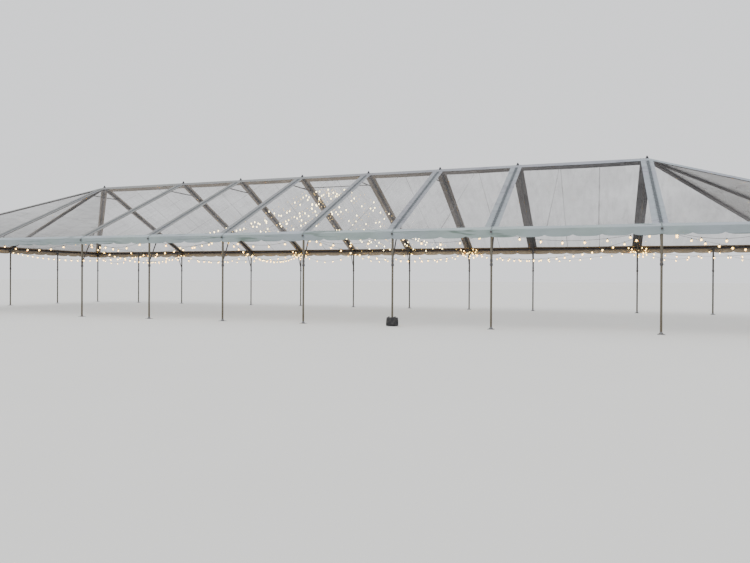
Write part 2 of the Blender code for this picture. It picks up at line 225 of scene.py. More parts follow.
class MarqueeColours(bpy.types.PropertyGroup):
    """Colours of the marquee's finishes"""

    aluminium: colour("Aluminium", "Shaded roof and eave tubes", (0.070, 0.062, 0.062))
    # Painted shade: the leg tone is kept dark for the shade that the legs stand in.
    leg: colour("Leg", "Weathered tube of the legs", (0.122, 0.108, 0.083))
    casting: colour("Casting", "Cast fittings", (0.110, 0.105, 0.105))
    pin: colour("Pin", "Dark steel pins", (0.045, 0.045, 0.050))
    plate: colour("Foot plate", "Galvanised foot plates", (0.22, 0.225, 0.23))
    vinyl: colour("Clear vinyl", "Haze of the clear sheets", (0.080, 0.070, 0.068))
    end_vinyl: colour("End vinyl", "Haze of the sheets at both ends", (0.078, 0.072, 0.058))
    band: colour("Band", "Outer face of the bands on the slopes", (0.270, 0.320, 0.348))
    band_lilac: colour("Band lilac", "Cooler tone of those bands", (0.262, 0.268, 0.325))
    # Painted shade: the bands darken towards the left end, which lies away from the light.
    band_left: colour("Band left", "Duller tone towards the left", (0.165, 0.170, 0.165))
    eave: colour("Eave", "Outer face of the eave band", (0.290, 0.350, 0.348))
    eave_lilac: colour("Eave lilac", "Cooler tone of the eave", (0.300, 0.335, 0.380))
    # Painted shade: the valance is the eave band's own cloth, given a darker copy of its tones where
    # it hangs down.
    valance: colour("Valance", "Outer face of the valance", (0.212, 0.268, 0.256))
    valance_lilac: colour("Valance lilac", "Cooler tone of it", (0.225, 0.262, 0.288))
    crease: colour("Crease", "Shaded creases of the eave", (0.075, 0.115, 0.095))
    # Painted shade: the inner faces of the border cloth get dark tones for the shade under the roof,
    # browned as painted warm light from the bulbs and lighter at the left.
    band_back: colour("Band back", "Shaded inner face of the bands", (0.032, 0.031, 0.037))
    band_back_left: colour("Band back left", "The same at the left", (0.270, 0.220, 0.172))
    eave_back: colour("Eave back", "Shaded inner face of the eave", (0.150, 0.110, 0.075))
    valance_back: colour("Valance back", "Inner face of the valance", (0.31, 0.245, 0.170))
    # Painted shade: the flap under the lacing is a real part, coloured dark for the shade in the gap
    # over the rafter.
    webbing: colour("Webbing", "Dark flap under the lacing", (0.072, 0.086, 0.096))
    strap: colour("Strap", "Straps at the joins", (0.150, 0.175, 0.180))
    rope: colour("Rope", "Lacing rope", (0.30, 0.31, 0.33))
    rubber: colour("Rubber", "Light cable and sockets", (0.020, 0.018, 0.016))
    glow: colour("Bulb glow", "Hot core of the warm bulbs", (1.0, 0.84, 0.38))
    fairy: colour("Small lamp", "Glow of the small lamps", (1.0, 0.72, 0.34))
    amber: colour("Bulb glass", "Lit glass of the warm bulbs", (1.0, 0.60, 0.17))
    canvas: colour("Canvas", "Black ballast bag", (0.014, 0.014, 0.017))
    floor: colour("Floor", "Pale floor of the stage", (0.72, 0.72, 0.70))


def sizes():
    return bpy.context.scene.marquee_sizes


class Link:
    """An output socket in a recipe, so that maths on it reads like maths on plain numbers."""

    def __init__(self, recipe, socket):
        self.recipe = recipe
        self.socket = socket

    def maths(self, operation, first, second):
        return self.recipe.node("Math", {"operation": operation}, {0: first, 1: second})

    def __add__(self, other):
        return self.maths("ADD", self, other)

    def __mul__(self, other):
        return self.maths("MULTIPLY", self, other)

    def __sub__(self, other):
        return self.maths("SUBTRACT", self, other)

    def __rsub__(self, other):
        return self.maths("SUBTRACT", other, self)

    __radd__ = __add__
    __rmul__ = __mul__


class Recipe:
    """A material, the nodes that make its pattern, and the colour that it starts from."""

    def __init__(self, name, colour_name):
        self.colour_name = colour_name
        self.material = bpy.data.materials.new(name)
        self.material.use_nodes = True
        self.tree = self.material.node_tree
        self.place = self.node("TexCoord", output="Object")

    def feed(self, socket, value):
        """Links a socket, or sets it to a plain value."""
        if isinstance(value, Link):
            self.tree.links.new(value.socket, socket)
        else:
            socket.default_value = value

    def node(self, kind, settings=None, values=None, output=0):
        made = self.tree.nodes.new("ShaderNode" + kind)
        for name, value in (settings or {}).items():
            setattr(made, name, value)
        for name, value in (values or {}).items():
            self.feed(made.inputs[name], value)
        return Link(self, made.outputs[output])

    def noise(self, scale, detail, stretch=(1, 1, 1), roughness=0.55):
        """Values from 0 to 1 in so many clouds a metre, squeezed along the axes by stretch."""
        place = self.node("Mapping", None, {"Vector": self.place, "Scale": stretch})
        values = {"Vector": place, "Scale": scale, "Detail": detail, "Roughness": roughness}
        return self.node("TexNoise", None, values)

    def bands(self, scale, direction, distortion=0.0):
        """Even waves from 0 to 1 along an axis."""
        settings = {"wave_type": "BANDS", "bands_direction": direction}
        values = {"Vector": self.place, "Scale": scale, "Distortion": distortion}
        return self.node("TexWave", settings, values, 1)

    def spread(self, value, low, high):
        """The value with its range from low to high widened to 0 to 1."""
        values = {"Value": value, "From Min": low, "From Max": high}
        return self.node("MapRange", {"clamp": True}, values)

    def along(self, axis, low, high):
        """0 to 1 as the place goes from low to high along an axis: 0 is X, 1 is Y and 2 is Z."""
        return self.spread(self.node("SeparateXYZ", None, {0: self.place}, axis), low, high)

    def tone(self, factor=1.0, name=None):
        """The recipe's own colour or another named one, made lighter or darker."""
        base = getattr(bpy.context.scene.marquee_colours, name or self.colour_name)
        return tuple(min(1.0, part * factor) for part in base)

    def mix(self, factor, first, second):
        pair = [c if isinstance(c, Link) else (*c, 1.0) for c in (first, second)]
        return self.node("Mix", {"data_type": "RGBA"}, {0: factor, 6: pair[0], 7: pair[1]}, 2)

    def between(self, factor, low, high):
        """From one shade of the recipe's colour to another."""
        return self.mix(factor, self.tone(low), self.tone(high))

    def bump(self, height, strength, distance):
        values = {"Height": height, "Strength": strength, "Distance": distance}
        self.set(Normal=self.node("Bump", None, values))

    def set(self, **inputs):
        shader = self.tree.nodes["Principled BSDF"]
        for name, value in inputs.items():
            self.feed(shader.inputs[name.replace("_", " ")], value)


def metal(recipe, roughness, metallic, stretch):
    """Tube or cast metal, streaked along stretch's low axis, with dull patches and fine grain."""
    streaks = recipe.noise(26, 4, stretch)
    patches = recipe.spread(recipe.noise(2.3, 5), 0.35, 0.68)
    tone = recipe.between(streaks, 0.80, 1.16)
    recipe.set(
        Base_Color=recipe.mix(patches * 0.45, tone, recipe.tone(0.72)),
        Roughness=roughness + 0.16 * streaks + 0.12 * patches,
        Metallic=metallic,
    )
    recipe.bump(streaks * 0.5 + recipe.noise(320, 2) * 0.5, 0.25, 0.002)


def leg_tube(recipe):
    """Leg tube with upright rub marks and splashed soil near the ground, and painted shade that
    darkens the legs at the back.
    """
    rubs = recipe.noise(30, 4, (1, 1, 0.06))
    soil = (1 - recipe.along(2, 0.0, 0.55)) * recipe.noise(9, 5)
    tone = recipe.between(rubs, 0.70, 1.30)
    # Painted shade: the legs at the back are made darker.
    tone = recipe.mix(recipe.along(1, -6, 6) * 0.85, tone, recipe.tone(0.35))
    recipe.set(
        Base_Color=recipe.mix(soil, tone, SOIL),
        Roughness=0.42 + 0.2 * rubs + 0.2 * soil,
        Metallic=0.6,
    )
    recipe.bump(rubs, 0.2, 0.002)


def galvanised(recipe):
    """Galvanised plate with its grey spangle and rust at the rim of the scratches."""
    spangle = recipe.node("TexVoronoi", None, {"Vector": recipe.place, "Scale": 70.0}, 1)
    grey = recipe.node("RGBToBW", None, {0: spangle})
    rust = recipe.spread(recipe.noise(14, 6), 0.56, 0.72)
    recipe.set(
        Base_Color=recipe.mix(rust, recipe.between(grey, 0.75, 1.2), RUST),
        Roughness=0.4 + 0.2 * grey + 0.2 * rust,
        Metallic=0.8 - 0.6 * rust,
    )
    recipe.bump(rust + grey * 0.3, 0.3, 0.002)


def clear_sheet(recipe, haze, roughness, gloss=0.0):
    """Clear sheet with cloudy haze, dust that ran down and gathers low, and long soft waves.

    Gloss is how far it turns from clear to glossy where it is seen at a flat angle.
    """
    low = 1 - recipe.along(2, 3.0, 4.1)
    clouds = recipe.spread(recipe.noise(0.45, 4), 0.35, 0.7)
    runs = recipe.spread(recipe.noise(5, 5, (1, 0.16, 0.16)), 0.45, 0.75)
    cover = haze * (0.5 + 0.6 * clouds + 0.5 * runs + 0.6 * low)
    if gloss:
        flatness = recipe.node("LayerWeight", None, {"Blend": 0.5}, 1)
        cover = cover + gloss * flatness * flatness * flatness * flatness
        recipe.set(Specular_IOR_Level=0.2)
    recipe.set(
        Base_Color=recipe.between(clouds, 0.82, 1.18),
        Roughness=roughness + 0.12 * runs,
        Alpha=cover,
        IOR=1.53,
    )
    recipe.bump(recipe.noise(1.4, 3, (1, 0.6, 1)), 0.4, 0.03)


def border_face(recipe, other, crease, roughness, left=None):
    """Coated border cloth in two drifting tones, with thin long creases darkened by painted shade,
    marks, a fine grain and, where left is given, painted shade towards the left end.
    """
    drift = recipe.spread(recipe.noise(0.42, 3), 0.40, 0.60)
    clouds = recipe.noise(1.7, 4, (1, 1.6, 3.5), 0.6)
    marks = recipe.spread(recipe.noise(0.8, 6, (1, 2, 2)), 0.42, 0.72)
    level = recipe.noise(0.35, 2, (1, 2, 11), 0.5) - 0.5
    patches = recipe.spread(recipe.noise(0.7, 2), 0.42, 0.58)
    # Crease lines: their relief goes into the bump, and their darker tone is painted shade.
    creases_and_shade = (1 - recipe.spread(level * level, 0.0, 0.0012)) * patches
    tone = recipe.mix(drift, recipe.tone(), recipe.tone(1, other))
    tone = recipe.mix(clouds * 0.35, tone, recipe.tone(1.15, other))
    tone = recipe.mix(marks * 0.3, tone, recipe.tone(0.72))
    # Painted shade: the tone darkens towards the left end.
    if left:
        tone = recipe.mix(recipe.along(0, -5, 12), recipe.tone(1, left), tone)
    recipe.set(
        Base_Color=recipe.mix(creases_and_shade * 0.85, tone, recipe.tone(*crease)),
        Roughness=roughness + 0.1 * marks,
    )
    recipe.bump(clouds * 0.9 - creases_and_shade * 0.35 + recipe.noise(420, 1) * 0.012, 0.6, 0.05)


def inner_face_shade(recipe, left=None):
    """Painted shade on the inner face of the border cloth, streaked down the slope and duller in
    patches.
    """
    streaks = recipe.noise(7, 4, (1, 0.12, 0.12))
    patches = recipe.spread(recipe.noise(1.2, 5), 0.38, 0.68)
    tone = recipe.between(streaks, 0.70, 1.30)
    # Painted shade: towards the left end the inner face takes a lighter brown tone.
    if left:
        tone = recipe.mix(recipe.along(0, -1, 9), recipe.tone(1, left), tone)
    recipe.set(
        Base_Color=recipe.mix(patches * 0.3, tone, recipe.tone(0.62)),
        Roughness=0.6 + 0.1 * patches,
    )
    recipe.bump(streaks * 0.7 + recipe.noise(420, 1) * 0.012, 0.45, 0.03)


def woven(recipe):
    """Woven strap cloth in a rib weave, faded in patches."""
    fade = recipe.noise(4, 4)
    recipe.set(Base_Color=recipe.between(fade, 0.7, 1.5), Roughness=0.78 + 0.1 * fade)
    recipe.bump(recipe.bands(90, "Y", 0.4) + fade * 0.2, 0.5, 0.003)


def laid_rope(recipe):
    """Laid rope with its strands and a weathered tone."""
    strands = recipe.bands(60, "DIAGONAL")
    worn = recipe.noise(12, 4)
    recipe.set(
        Base_Color=recipe.between(strands * 0.6 + worn * 0.4, 0.6, 1.2),
        Roughness=0.8 + 0.1 * worn,
    )
    recipe.bump(strands, 0.6, 0.002)


def rubber(recipe, roughness):
    """Black rubber or socket plastic with a chalky bloom."""
    bloom = recipe.noise(35, 5)
    recipe.set(Base_Color=recipe.between(bloom, 0.6, 2.2), Roughness=roughness + 0.2 * bloom)
    recipe.bump(bloom, 0.2, 0.001)


def lit(recipe, strength, alpha=1.0):
    """Lit glass or lamp, mottled as the light passes through its uneven wall."""
    mottle = recipe.noise(60, 2)
    warm = recipe.between(mottle, 0.9, 1.2)
    recipe.set(
        Base_Color=warm,
        Roughness=0.12 + 0.1 * mottle,
        Emission_Color=warm,
        Emission_Strength=strength,
        Alpha=alpha,
    )


def canvas(recipe):
    """Black canvas in a plain weave, dusty on its rounded places."""
    weave = recipe.bands(130, "X") * recipe.bands(130, "Z")
    dust = recipe.spread(recipe.noise(11, 5), 0.45, 0.75)
    recipe.set(
        Base_Color=recipe.mix(dust * 0.5, recipe.between(weave, 0.6, 1.9), DUST),
        Roughness=0.75 + 0.15 * dust,
    )
    recipe.bump(weave + dust * 0.4, 0.6, 0.003)


def floor(recipe):
    """Plain pale floor with a very faint mottle."""
    recipe.set(Base_Color=recipe.between(recipe.noise(0.35, 4), 0.97, 1.02), Roughness=0.85)


# Each finish: its material's name, its colour, its recipe and what the recipe takes.
FINISHES = {
    "tube_x": ("aluminium_along", "aluminium", metal, 0.34, 0.85, (0.05, 1, 1)),
    "tube_y": ("aluminium_across", "aluminium", metal, 0.34, 0.85, (1, 0.05, 0.3)),
    "casting": ("cast_fitting", "casting", metal, 0.46, 0.8, (1, 1, 1)),
    "pin": ("dark_steel_pin", "pin", metal, 0.4, 0.6, (1, 1, 0.3)),
    "leg": ("leg_aluminium", "leg", leg_tube),
    "plate": ("galvanised_plate", "plate", galvanised),
    "vinyl": ("clear_vinyl", "vinyl", clear_sheet, 0.14, 0.10),
    "end_vinyl": ("end_vinyl", "end_vinyl", clear_sheet, 0.16, 0.2, 0.9),
    "seam": ("welded_seam", "vinyl", clear_sheet, 0.36, 0.22),
    "band": (
        "band_face",
        "band",
        border_face,
        "band_lilac",
        (0.55, "band_lilac"),
        0.45,
        "band_left",
    ),
    "eave": ("eave_face", "eave", border_face, "eave_lilac", (1, "crease"), 0.48),
    # The valance's tones are a darker copy of the eave's: painted shade.
    "valance": ("valance_face", "valance", border_face, "valance_lilac", (1, "crease"), 0.5),
    # Inner faces: painted shade, browned by painted warm light.
    "band_back": ("band_lining", "band_back", inner_face_shade, "band_back_left"),
    "eave_back": ("eave_lining", "eave_back", inner_face_shade),
    "valance_back": ("valance_lining", "valance_back", inner_face_shade),
    "join_strap": ("join_strap", "strap", woven),
    # The lace flap is dark as painted shade in the gap over the rafter.
    "webbing": ("lace_flap", "webbing", woven),
    "strap": ("bag_strap", "canvas", woven),
    "rope": ("lacing_rope", "rope", laid_rope),
    "cable": ("light_cable", "rubber", rubber, 0.45),
    "socket": ("lamp_socket", "rubber", rubber, 0.35),
    "glass": ("lit_bulb_glass", "amber", lit, 2.2, 0.8),
    "core": ("lit_bulb_core", "glow", lit, 22.0),
    "lamp": ("lit_fairy_lamp", "fairy", lit, 14.0),
    "dim_lamp": ("dim_fairy_lamp", "amber", lit, 2.6),
    "canvas": ("ballast_canvas", "canvas", canvas),
    "floor": ("stage_floor", "floor", floor),
}
made_finishes = {}


def finish(name):
    """The material of that finish, made on first use."""
    if name not in made_finishes:
        material, colour_name, write, *details = FINISHES[name]
        recipe = Recipe(material, colour_name)
        write(recipe, *details)
        made_finishes[name] = recipe.material
    return made_finishes[name]


def paint(piece, *names):
    piece.data.materials.clear()
    for name in names:
        piece.data.materials.append(finish(name))
    return piece


def settle(piece, slot, *nodes):
    """Rides the piece on the frame and hides the nodes that it stands for; the slot is not used."""
    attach(piece, "root")
    if nodes:
        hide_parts(*nodes)
    return piece


def select(*pieces):
    """Selects these pieces and nothing else, with the first one active."""
    bpy.ops.object.select_all(action="DESELECT")
    for piece in pieces:
        piece.select_set(True)
    if pieces:
        bpy.context.view_layer.objects.active = pieces[0]


def pick(piece, wanted, kind="FACE"):
    """Selects in edit mode the faces, edges or vertices for which wanted is true."""
    bpy.context.view_layer.objects.active = piece
    if piece.mode != "EDIT":
        bpy.ops.object.mode_set(mode="EDIT")
    bpy.ops.mesh.select_mode(type=kind)
    bpy.ops.mesh.select_all(action="DESELECT")
    mesh = bmesh.from_edit_mesh(piece.data)
    for part in {"FACE": mesh.faces, "EDGE": mesh.edges, "VERT": mesh.verts}[kind]:
        if wanted(part):
            part.select_set(True)
    bmesh.update_edit_mesh(piece.data)


def leave_edit():
    bpy.ops.object.mode_set(mode="OBJECT")


def extrude(way):
    bpy.ops.mesh.extrude_region_move(TRANSFORM_OT_translate={"value": way})


def primitive(name, add, **settings):
    """A new primitive with its place in its mesh."""
    select()
    add(**settings)
    piece = bpy.context.object
    piece.name = name
    bpy.ops.object.transform_apply(location=True, rotation=True, scale=True)
    return piece


def bar(start, end, radius, look, sides=20):
    """A round bar from point to point."""
    start = Vector(start)
    along = Vector(end) - start
    piece = primitive(
        "bar",
        bpy.ops.mesh.primitive_cylinder_add,
        vertices=sides,
        radius=radius,
        depth=along.length,
        location=start + along / 2,
        rotation=along.to_track_quat("Z", "Y").to_euler(),
    )
    return paint(piece, look)


def tube(start, end, radius, wall, look, sides=20):
    """A round tube whose ends are inset and pushed in, so that the wall shows."""
    piece = bar(start, end, radius, look, sides)
    axis = (Vector(end) - Vector(start)).normalized()
    for way in (axis, -axis):
        pick(piece, lambda face: face.normal.dot(way) > 0.99)
        bpy.ops.mesh.inset(thickness=wall)
        extrude(-way * radius * 1.5)
    leave_edit()
    return piece


def upright(shape, low, high, *details):
    """A bar or tube on the Z axis."""
    return shape((0, 0, low), (0, 0, high), *details)


def main_tube(start, end, look, sides=24):
    """A ridge, rafter or eave tube."""
    return tube(start, end, sizes().tube_radius, sizes().tube_wall, look, sides)


def ring(radius, wire, sides, wire_sides=6, **place):
    """A wire ring, flat on the XY plane unless it is turned."""
    return primitive(
        "ring",
        bpy.ops.mesh.primitive_torus_add,
        major_segments=sides,
        minor_segments=wire_sides,
        major_radius=radius,
        minor_radius=wire,
        **place,
    )


def cube(name, centre, size):
    return primitive(name, bpy.ops.mesh.primitive_cube_add, size=1, location=centre, scale=size)


def rounded_block(centre, size, rounding, look, segments=2):
    """A block with bevelled edges."""
    block = cube("block", centre, size)
    pick(block, lambda edge: True, "EDGE")
    bpy.ops.mesh.bevel(offset=rounding, segments=segments, affect="EDGES")
    leave_edit()
    return paint(block, look)


def round_rims(piece, wider_than=0.0):
    """Bevels the level edges that lie on circles wider than that radius."""

    def is_rim(edge):
        ends = [vertex.co for vertex in edge.verts]
        level = abs(ends[0].z - ends[1].z) < 1e-4
        return level and all(math.hypot(end.x, end.y) > wider_than for end in ends)

    pick(piece, is_rim, "EDGE")
    bpy.ops.mesh.bevel(offset=0.004, segments=2, affect="EDGES")
    leave_edit()
    return piece


def smooth(piece, degrees=35):
    select(piece)
    bpy.ops.object.shade_smooth_by_angle(angle=math.radians(degrees))
    return piece


def joined(name, pieces):
    """The pieces joined into one object of that name, smoothly shaded."""
    select(*pieces)
    bpy.ops.object.join()
    whole = bpy.context.object
    whole.name = name
    whole.data.name = name
    return smooth(whole)


def stamp(source, matrix, name=None):
    """A copy of a modelled piece with its own mesh, moved to its place."""
    made = source.copy()
    made.data = source.data.copy()
    made.data.transform(matrix)
    made.name = name or source.name
    bpy.context.scene.collection.objects.link(made)
    return made


def put(source, place, name=None):
    return stamp(source, Matrix.Translation(place), name)


def aim(place, direction):
    """A matrix that lays +Z along a direction at a place."""
    turn = Vector(direction).to_track_quat("Z", "Y").to_matrix().to_4x4()
    return Matrix.Translation(place) @ turn


def lay(source, place, direction):
    return stamp(source, aim(place, direction))


def drop_model(*models):
    for model in models:
        bpy.data.objects.remove(model)


def add_modifier(piece, kind, **settings):
    """Adds a modifier and applies it."""
    modifier = piece.modifiers.new(kind.lower(), kind)
    for name, value in settings.items():
        setattr(modifier, name, value)
    select(piece)
    bpy.ops.object.modifier_apply(modifier=modifier.name)


def downhill(end, side):
    """Unit vector down a slope from a crown: 0 for the end or side that it doesn't lean to."""
    across = Vector((end * (EAVE_END - RIDGE_END), side * HALF_WIDTH, EAVE_HEIGHT - RIDGE_HEIGHT))
    return across.normalized()


def crown(x):
    return Vector((x, 0, RIDGE_HEIGHT))


def eave(x, y):
    return Vector((x, y, EAVE_HEIGHT))


def bolt_model():
    """A hexagon bolt head on its washer, standing on the XY plane."""
    washer = upright(bar, -0.002, 0.0025, 0.013, "plate", 12)
    head = upright(bar, 0, 0.010, 0.009, "pin", 6)
    pick(head, lambda face: face.normal.z > 0.9)
    bpy.ops.mesh.inset(thickness=0.002)
    extrude((0, 0, -0.0015))
    leave_edit()
    return joined("bolt", [washer, head])


def fitting_model(start, end, radius, lips, bolt_heights):
    """A cast arm or sleeve along +Z with its lips and bolts on both sides."""
    pieces = [upright(tube, start, end, radius, 0.005, "casting", 18)]
    for lip in lips:
        pieces.append(upright(tube, lip, lip + LIP_LENGTH, radius + 0.0025, 0.006, "casting", 18))
    bolt = bolt_model()
    for height in bolt_heights:
        for turn in (1, -1):
            pieces.append(lay(bolt, (0, turn * (radius - 0.001), height), (0, turn, 0)))
    drop_model(bolt)
    return joined("fitting", pieces)


def fittings(*names):
    return [fitting_model(*FITTINGS[name]) for name in names]


def pin_model():
    """A dark pin that tapers out of a crown fitting, with its collar and a rounded head."""
    tall = SLEEVE_RADIUS * math.hypot(1, SLOPE) + 0.084
    shaft = upright(bar, 0, tall, 0.072, "pin", 12)
    pick(shaft, lambda vertex: vertex.co.z > tall - 0.001, "VERT")
    bpy.ops.transform.resize(value=(0.28, 0.28, 1))
    leave_edit()
    head = round_rims(upright(bar, tall - 0.022, tall, 0.021, "pin", 12))
    collar = round_rims(upright(bar, 0.045, 0.064, 0.058, "pin", 12))
    return joined("pin", [shaft, head, collar])


class MarqueeOperator(bpy.types.Operator):
    """Shared settings of the marquee's operators"""

    bl_options = {"REGISTER", "UNDO"}


class MARQUEE_OT_camera(MarqueeOperator):
    """Adds the camera that looks at the front from its right half, at eye height"""

    bl_idname = "marquee.camera"
    bl_label = "Camera"

    def execute(self, context):
        yaw, pitch, roll = (math.radians(angle) for angle in (19.550, -0.173, 0.313))
        turn = Matrix.Rotation(yaw, 4, "Z") @ Matrix.Rotation(math.pi / 2 + pitch, 4, "X")
        bpy.ops.object.camera_add(location=(10.656, -24.842, 1.442))
        camera = context.object
        camera.name = "photo_camera"
        camera.matrix_world = (
            Matrix.Translation(camera.location) @ turn @ Matrix.Rotation(roll, 4, "Z")
        )
        camera.data.sensor_width = 36
        camera.data.lens = 30.543
        camera.data.clip_end = 2000
        context.scene.camera = camera
        return {"FINISHED"}


def inward_from(x, y):
    """Unit vector from a leg into the tent, across the eave rail that it carries."""
    if y:
        return Vector((0, math.copysign(1, -y), 0))
    return Vector((math.copysign(1, -x), 0, 0))


def hook(x, y, drop):
    """Where a light string is tied to the inner side of the fitting over a leg."""
    reach = LEG_ARM_RADIUS + CORD_DIAMETER / 2 + SEAT
    return eave(x, y) + inward_from(x, y) * reach + DOWN * drop


def swag(start, end, sag, steps=SPAN_STEPS):
    """Points after start, up to and with end, of a cord that hangs between the two."""
    points = []
    for step in range(1, steps + 1):
        share = step / steps
        points.append(start.lerp(end, share) + DOWN * (4 * sag * share * (1 - share)))
    return points


def eased(points, reach=0.035, steps=5):
    """The route with its sharp corners turned into short curves."""
    route = [points[0]]
    for before, corner, after in zip(points, points[1:], points[2:]):
        into = corner - before
        onward = after - corner
        if into.angle(onward) < math.radians(8):
            route.append(corner)
            continue
        near = corner - into.normalized() * min(reach, into.length * 0.45)
        far = corner + onward.normalized() * min(reach, onward.length * 0.45)
        for step in range(steps + 1):
            share = step / steps
            route.append(near.lerp(corner, share).lerp(corner.lerp(far, share), share))
    route.append(points[-1])
    return route


def side_route(side, posts, sag):
    hooks = [hook(x, side * HALF_WIDTH, SIDE_HOOK_DROP) for x in posts]
    for corner in (hooks[0], hooks[-1]):
        corner.z = EAVE_HEIGHT - CORNER_HOOK_DROP
    points = [hooks[0]]
    for start, end in zip(hooks, hooks[1:]):
        points += swag(start, end, sag)
    return eased(points)


def cross_route(posts):
    """The route of a string that crosses the tent and turns in a small loop at each leg."""
    hooks = [hook(x, y, CROSS_HOOK_DROP) for x, y in posts]
    points = [hooks[0]]
    for (x, y), start, end in zip(posts[1:], hooks, hooks[1:]):
        inward = inward_from(x, y)
        way = end - start
        if y:
            sideways = Vector((math.copysign(CROSS_TURN_HALF_WIDTH, way.x), 0, 0))
        else:
            sideways = Vector((0, math.copysign(CROSS_TURN_HALF_WIDTH, way.y), 0))
        arrival = end + inward * CROSS_TURN_DEPTH - sideways
        points += swag(points[-1], arrival, min(CROSS_SAG, CROSS_SAG_SHARE * way.length))
        if end is hooks[-1]:
            points.append(end)
            continue
        centre = end + inward * CROSS_TURN_HALF_WIDTH
        for step in range(9):
            turn = math.pi * step / 8
            bow = inward * (CROSS_TURN_HALF_WIDTH * math.sin(turn))
            points.append(centre - sideways * math.cos(turn) - bow)
        points.append(end + inward * CROSS_TURN_DEPTH + sideways)
    return eased(points, 0.02)


def spots(route, first, gap):
    """Points along a route, the first one after a given length and the others a gap apart."""
    found = []
    wanted = first
    gone = 0.0
    for start, end in zip(route, route[1:]):
        piece = (end - start).length
        while wanted <= gone + piece:
            found.append(start.lerp(end, (wanted - gone) / piece))
            wanted += gap
        gone += piece
    return found


def cord_curve(name, route, diameter, material, resolution=2):
    """A round cord along a route."""
    curve = bpy.data.curves.new(name, "CURVE")
    curve.dimensions = "3D"
    curve.bevel_depth = diameter / 2
    curve.bevel_resolution = resolution
    curve.use_fill_caps = True
    line = curve.splines.new("POLY")
    line.points.add(len(route) - 1)
    for spot, point in zip(line.points, route):
        spot.co = (*point, 1.0)
    line.use_smooth = True
    curve.materials.append(finish(material))
    cord = bpy.data.objects.new(name, curve)
    bpy.context.scene.collection.objects.link(cord)
    return cord


def hang_cord(name, route, diameter, node=None, resolution=2):
    """A light cable along a route, which rides the frame and hides the node that it stands for, if
    one is given.
    """
    curve = cord_curve(name, route, diameter, "cable", resolution)
    cord = settle(curve, "light_cable", *([node] if node else []))
    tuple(route[0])
    sum((b - a).length for a, b in zip(route, route[1:]))


def bulb_model():
    """A festoon lamp that hangs from a cord at the origin: socket, pear-shaped glass and core."""
    radius = sizes().bulb_radius
    centre = -0.036 - radius
    glass = primitive(
        "bulb",
        bpy.ops.mesh.primitive_uv_sphere_add,
        segments=8,
        ring_count=5,
        radius=radius,
        location=(0, 0, centre),
    )
    pick(glass, lambda vertex: vertex.co.z > centre + radius * 0.55, "VERT")
    bpy.ops.transform.resize(value=(0.72, 0.72, 1))
    bpy.ops.transform.translate(value=(0, 0, radius * 0.25))
    leave_edit()
    core = primitive(
        "core",
        bpy.ops.mesh.primitive_ico_sphere_add,
        subdivisions=1,
        radius=radius * 0.58,
        location=(0, 0, centre),
    )
    pick(core, lambda vertex: vertex.co.z > centre + 0.001, "VERT")
    bpy.ops.transform.translate(value=(0, 0, radius * 0.3))
    leave_edit()
    socket = upright(bar, -0.040, 0.007, 0.016, "socket", 6)
    pick(socket, lambda face: face.normal.z > 0.9)
    bpy.ops.transform.resize(value=(0.7, 0.7, 1))
    pick(socket, lambda face: face.normal.z < -0.9)
    bpy.ops.mesh.inset(thickness=0.003)
    leave_edit()
    return joined("bulb", [paint(glass, "glass"), paint(core, "core"), socket])


def tie_model():
    """A cable tie round a leg fitting, which holds a string."""
    tie = ring(LEG_ARM_RADIUS + 0.004, 0.003, 18)
    pick(tie, lambda face: face.calc_center_median().y > LEG_ARM_RADIUS)
    extrude((0, 0.006, 0))
    leave_edit()
    return paint(tie, "socket")


def coil_model():
    """A small coil of spare string, held by its own last turn."""
    turns = []
    shapes = ((0.1, 0.055), (-0.25, 0.05), (0.35, 0.047), (-0.05, 0.06))
    for number, (tilt, radius) in enumerate(shapes):
        place = (0.004 * number, 0.003 * number, 0)
        lean = (math.pi / 2 + tilt, 0.3 * tilt, 0.2)
        turn = ring(radius, CORD_DIAMETER / 2 + 0.001, 20, location=place, rotation=lean)
        pick(turn, lambda vertex: vertex.co.z < -0.02, "VERT")
        bpy.ops.transform.translate(value=(0, 0, -0.02))
        leave_edit()
        turns.append(paint(turn, "cable"))
    return joined("coil", turns)


def hang_bulbs(name, places, extras, model):
    """The lamps, ties and coils of one string, joined into one piece."""
    chance = random.Random(name)
    pieces = list(extras)
    for place in places:
        lean = Matrix.Rotation(chance.uniform(-0.16, 0.16), 4, "X")
        spin = Matrix.Rotation(chance.uniform(0, math.pi), 4, "Z")
        pieces.append(stamp(model, Matrix.Translation(place) @ lean @ spin))
    return settle(joined(name, pieces), "bulb_glass")


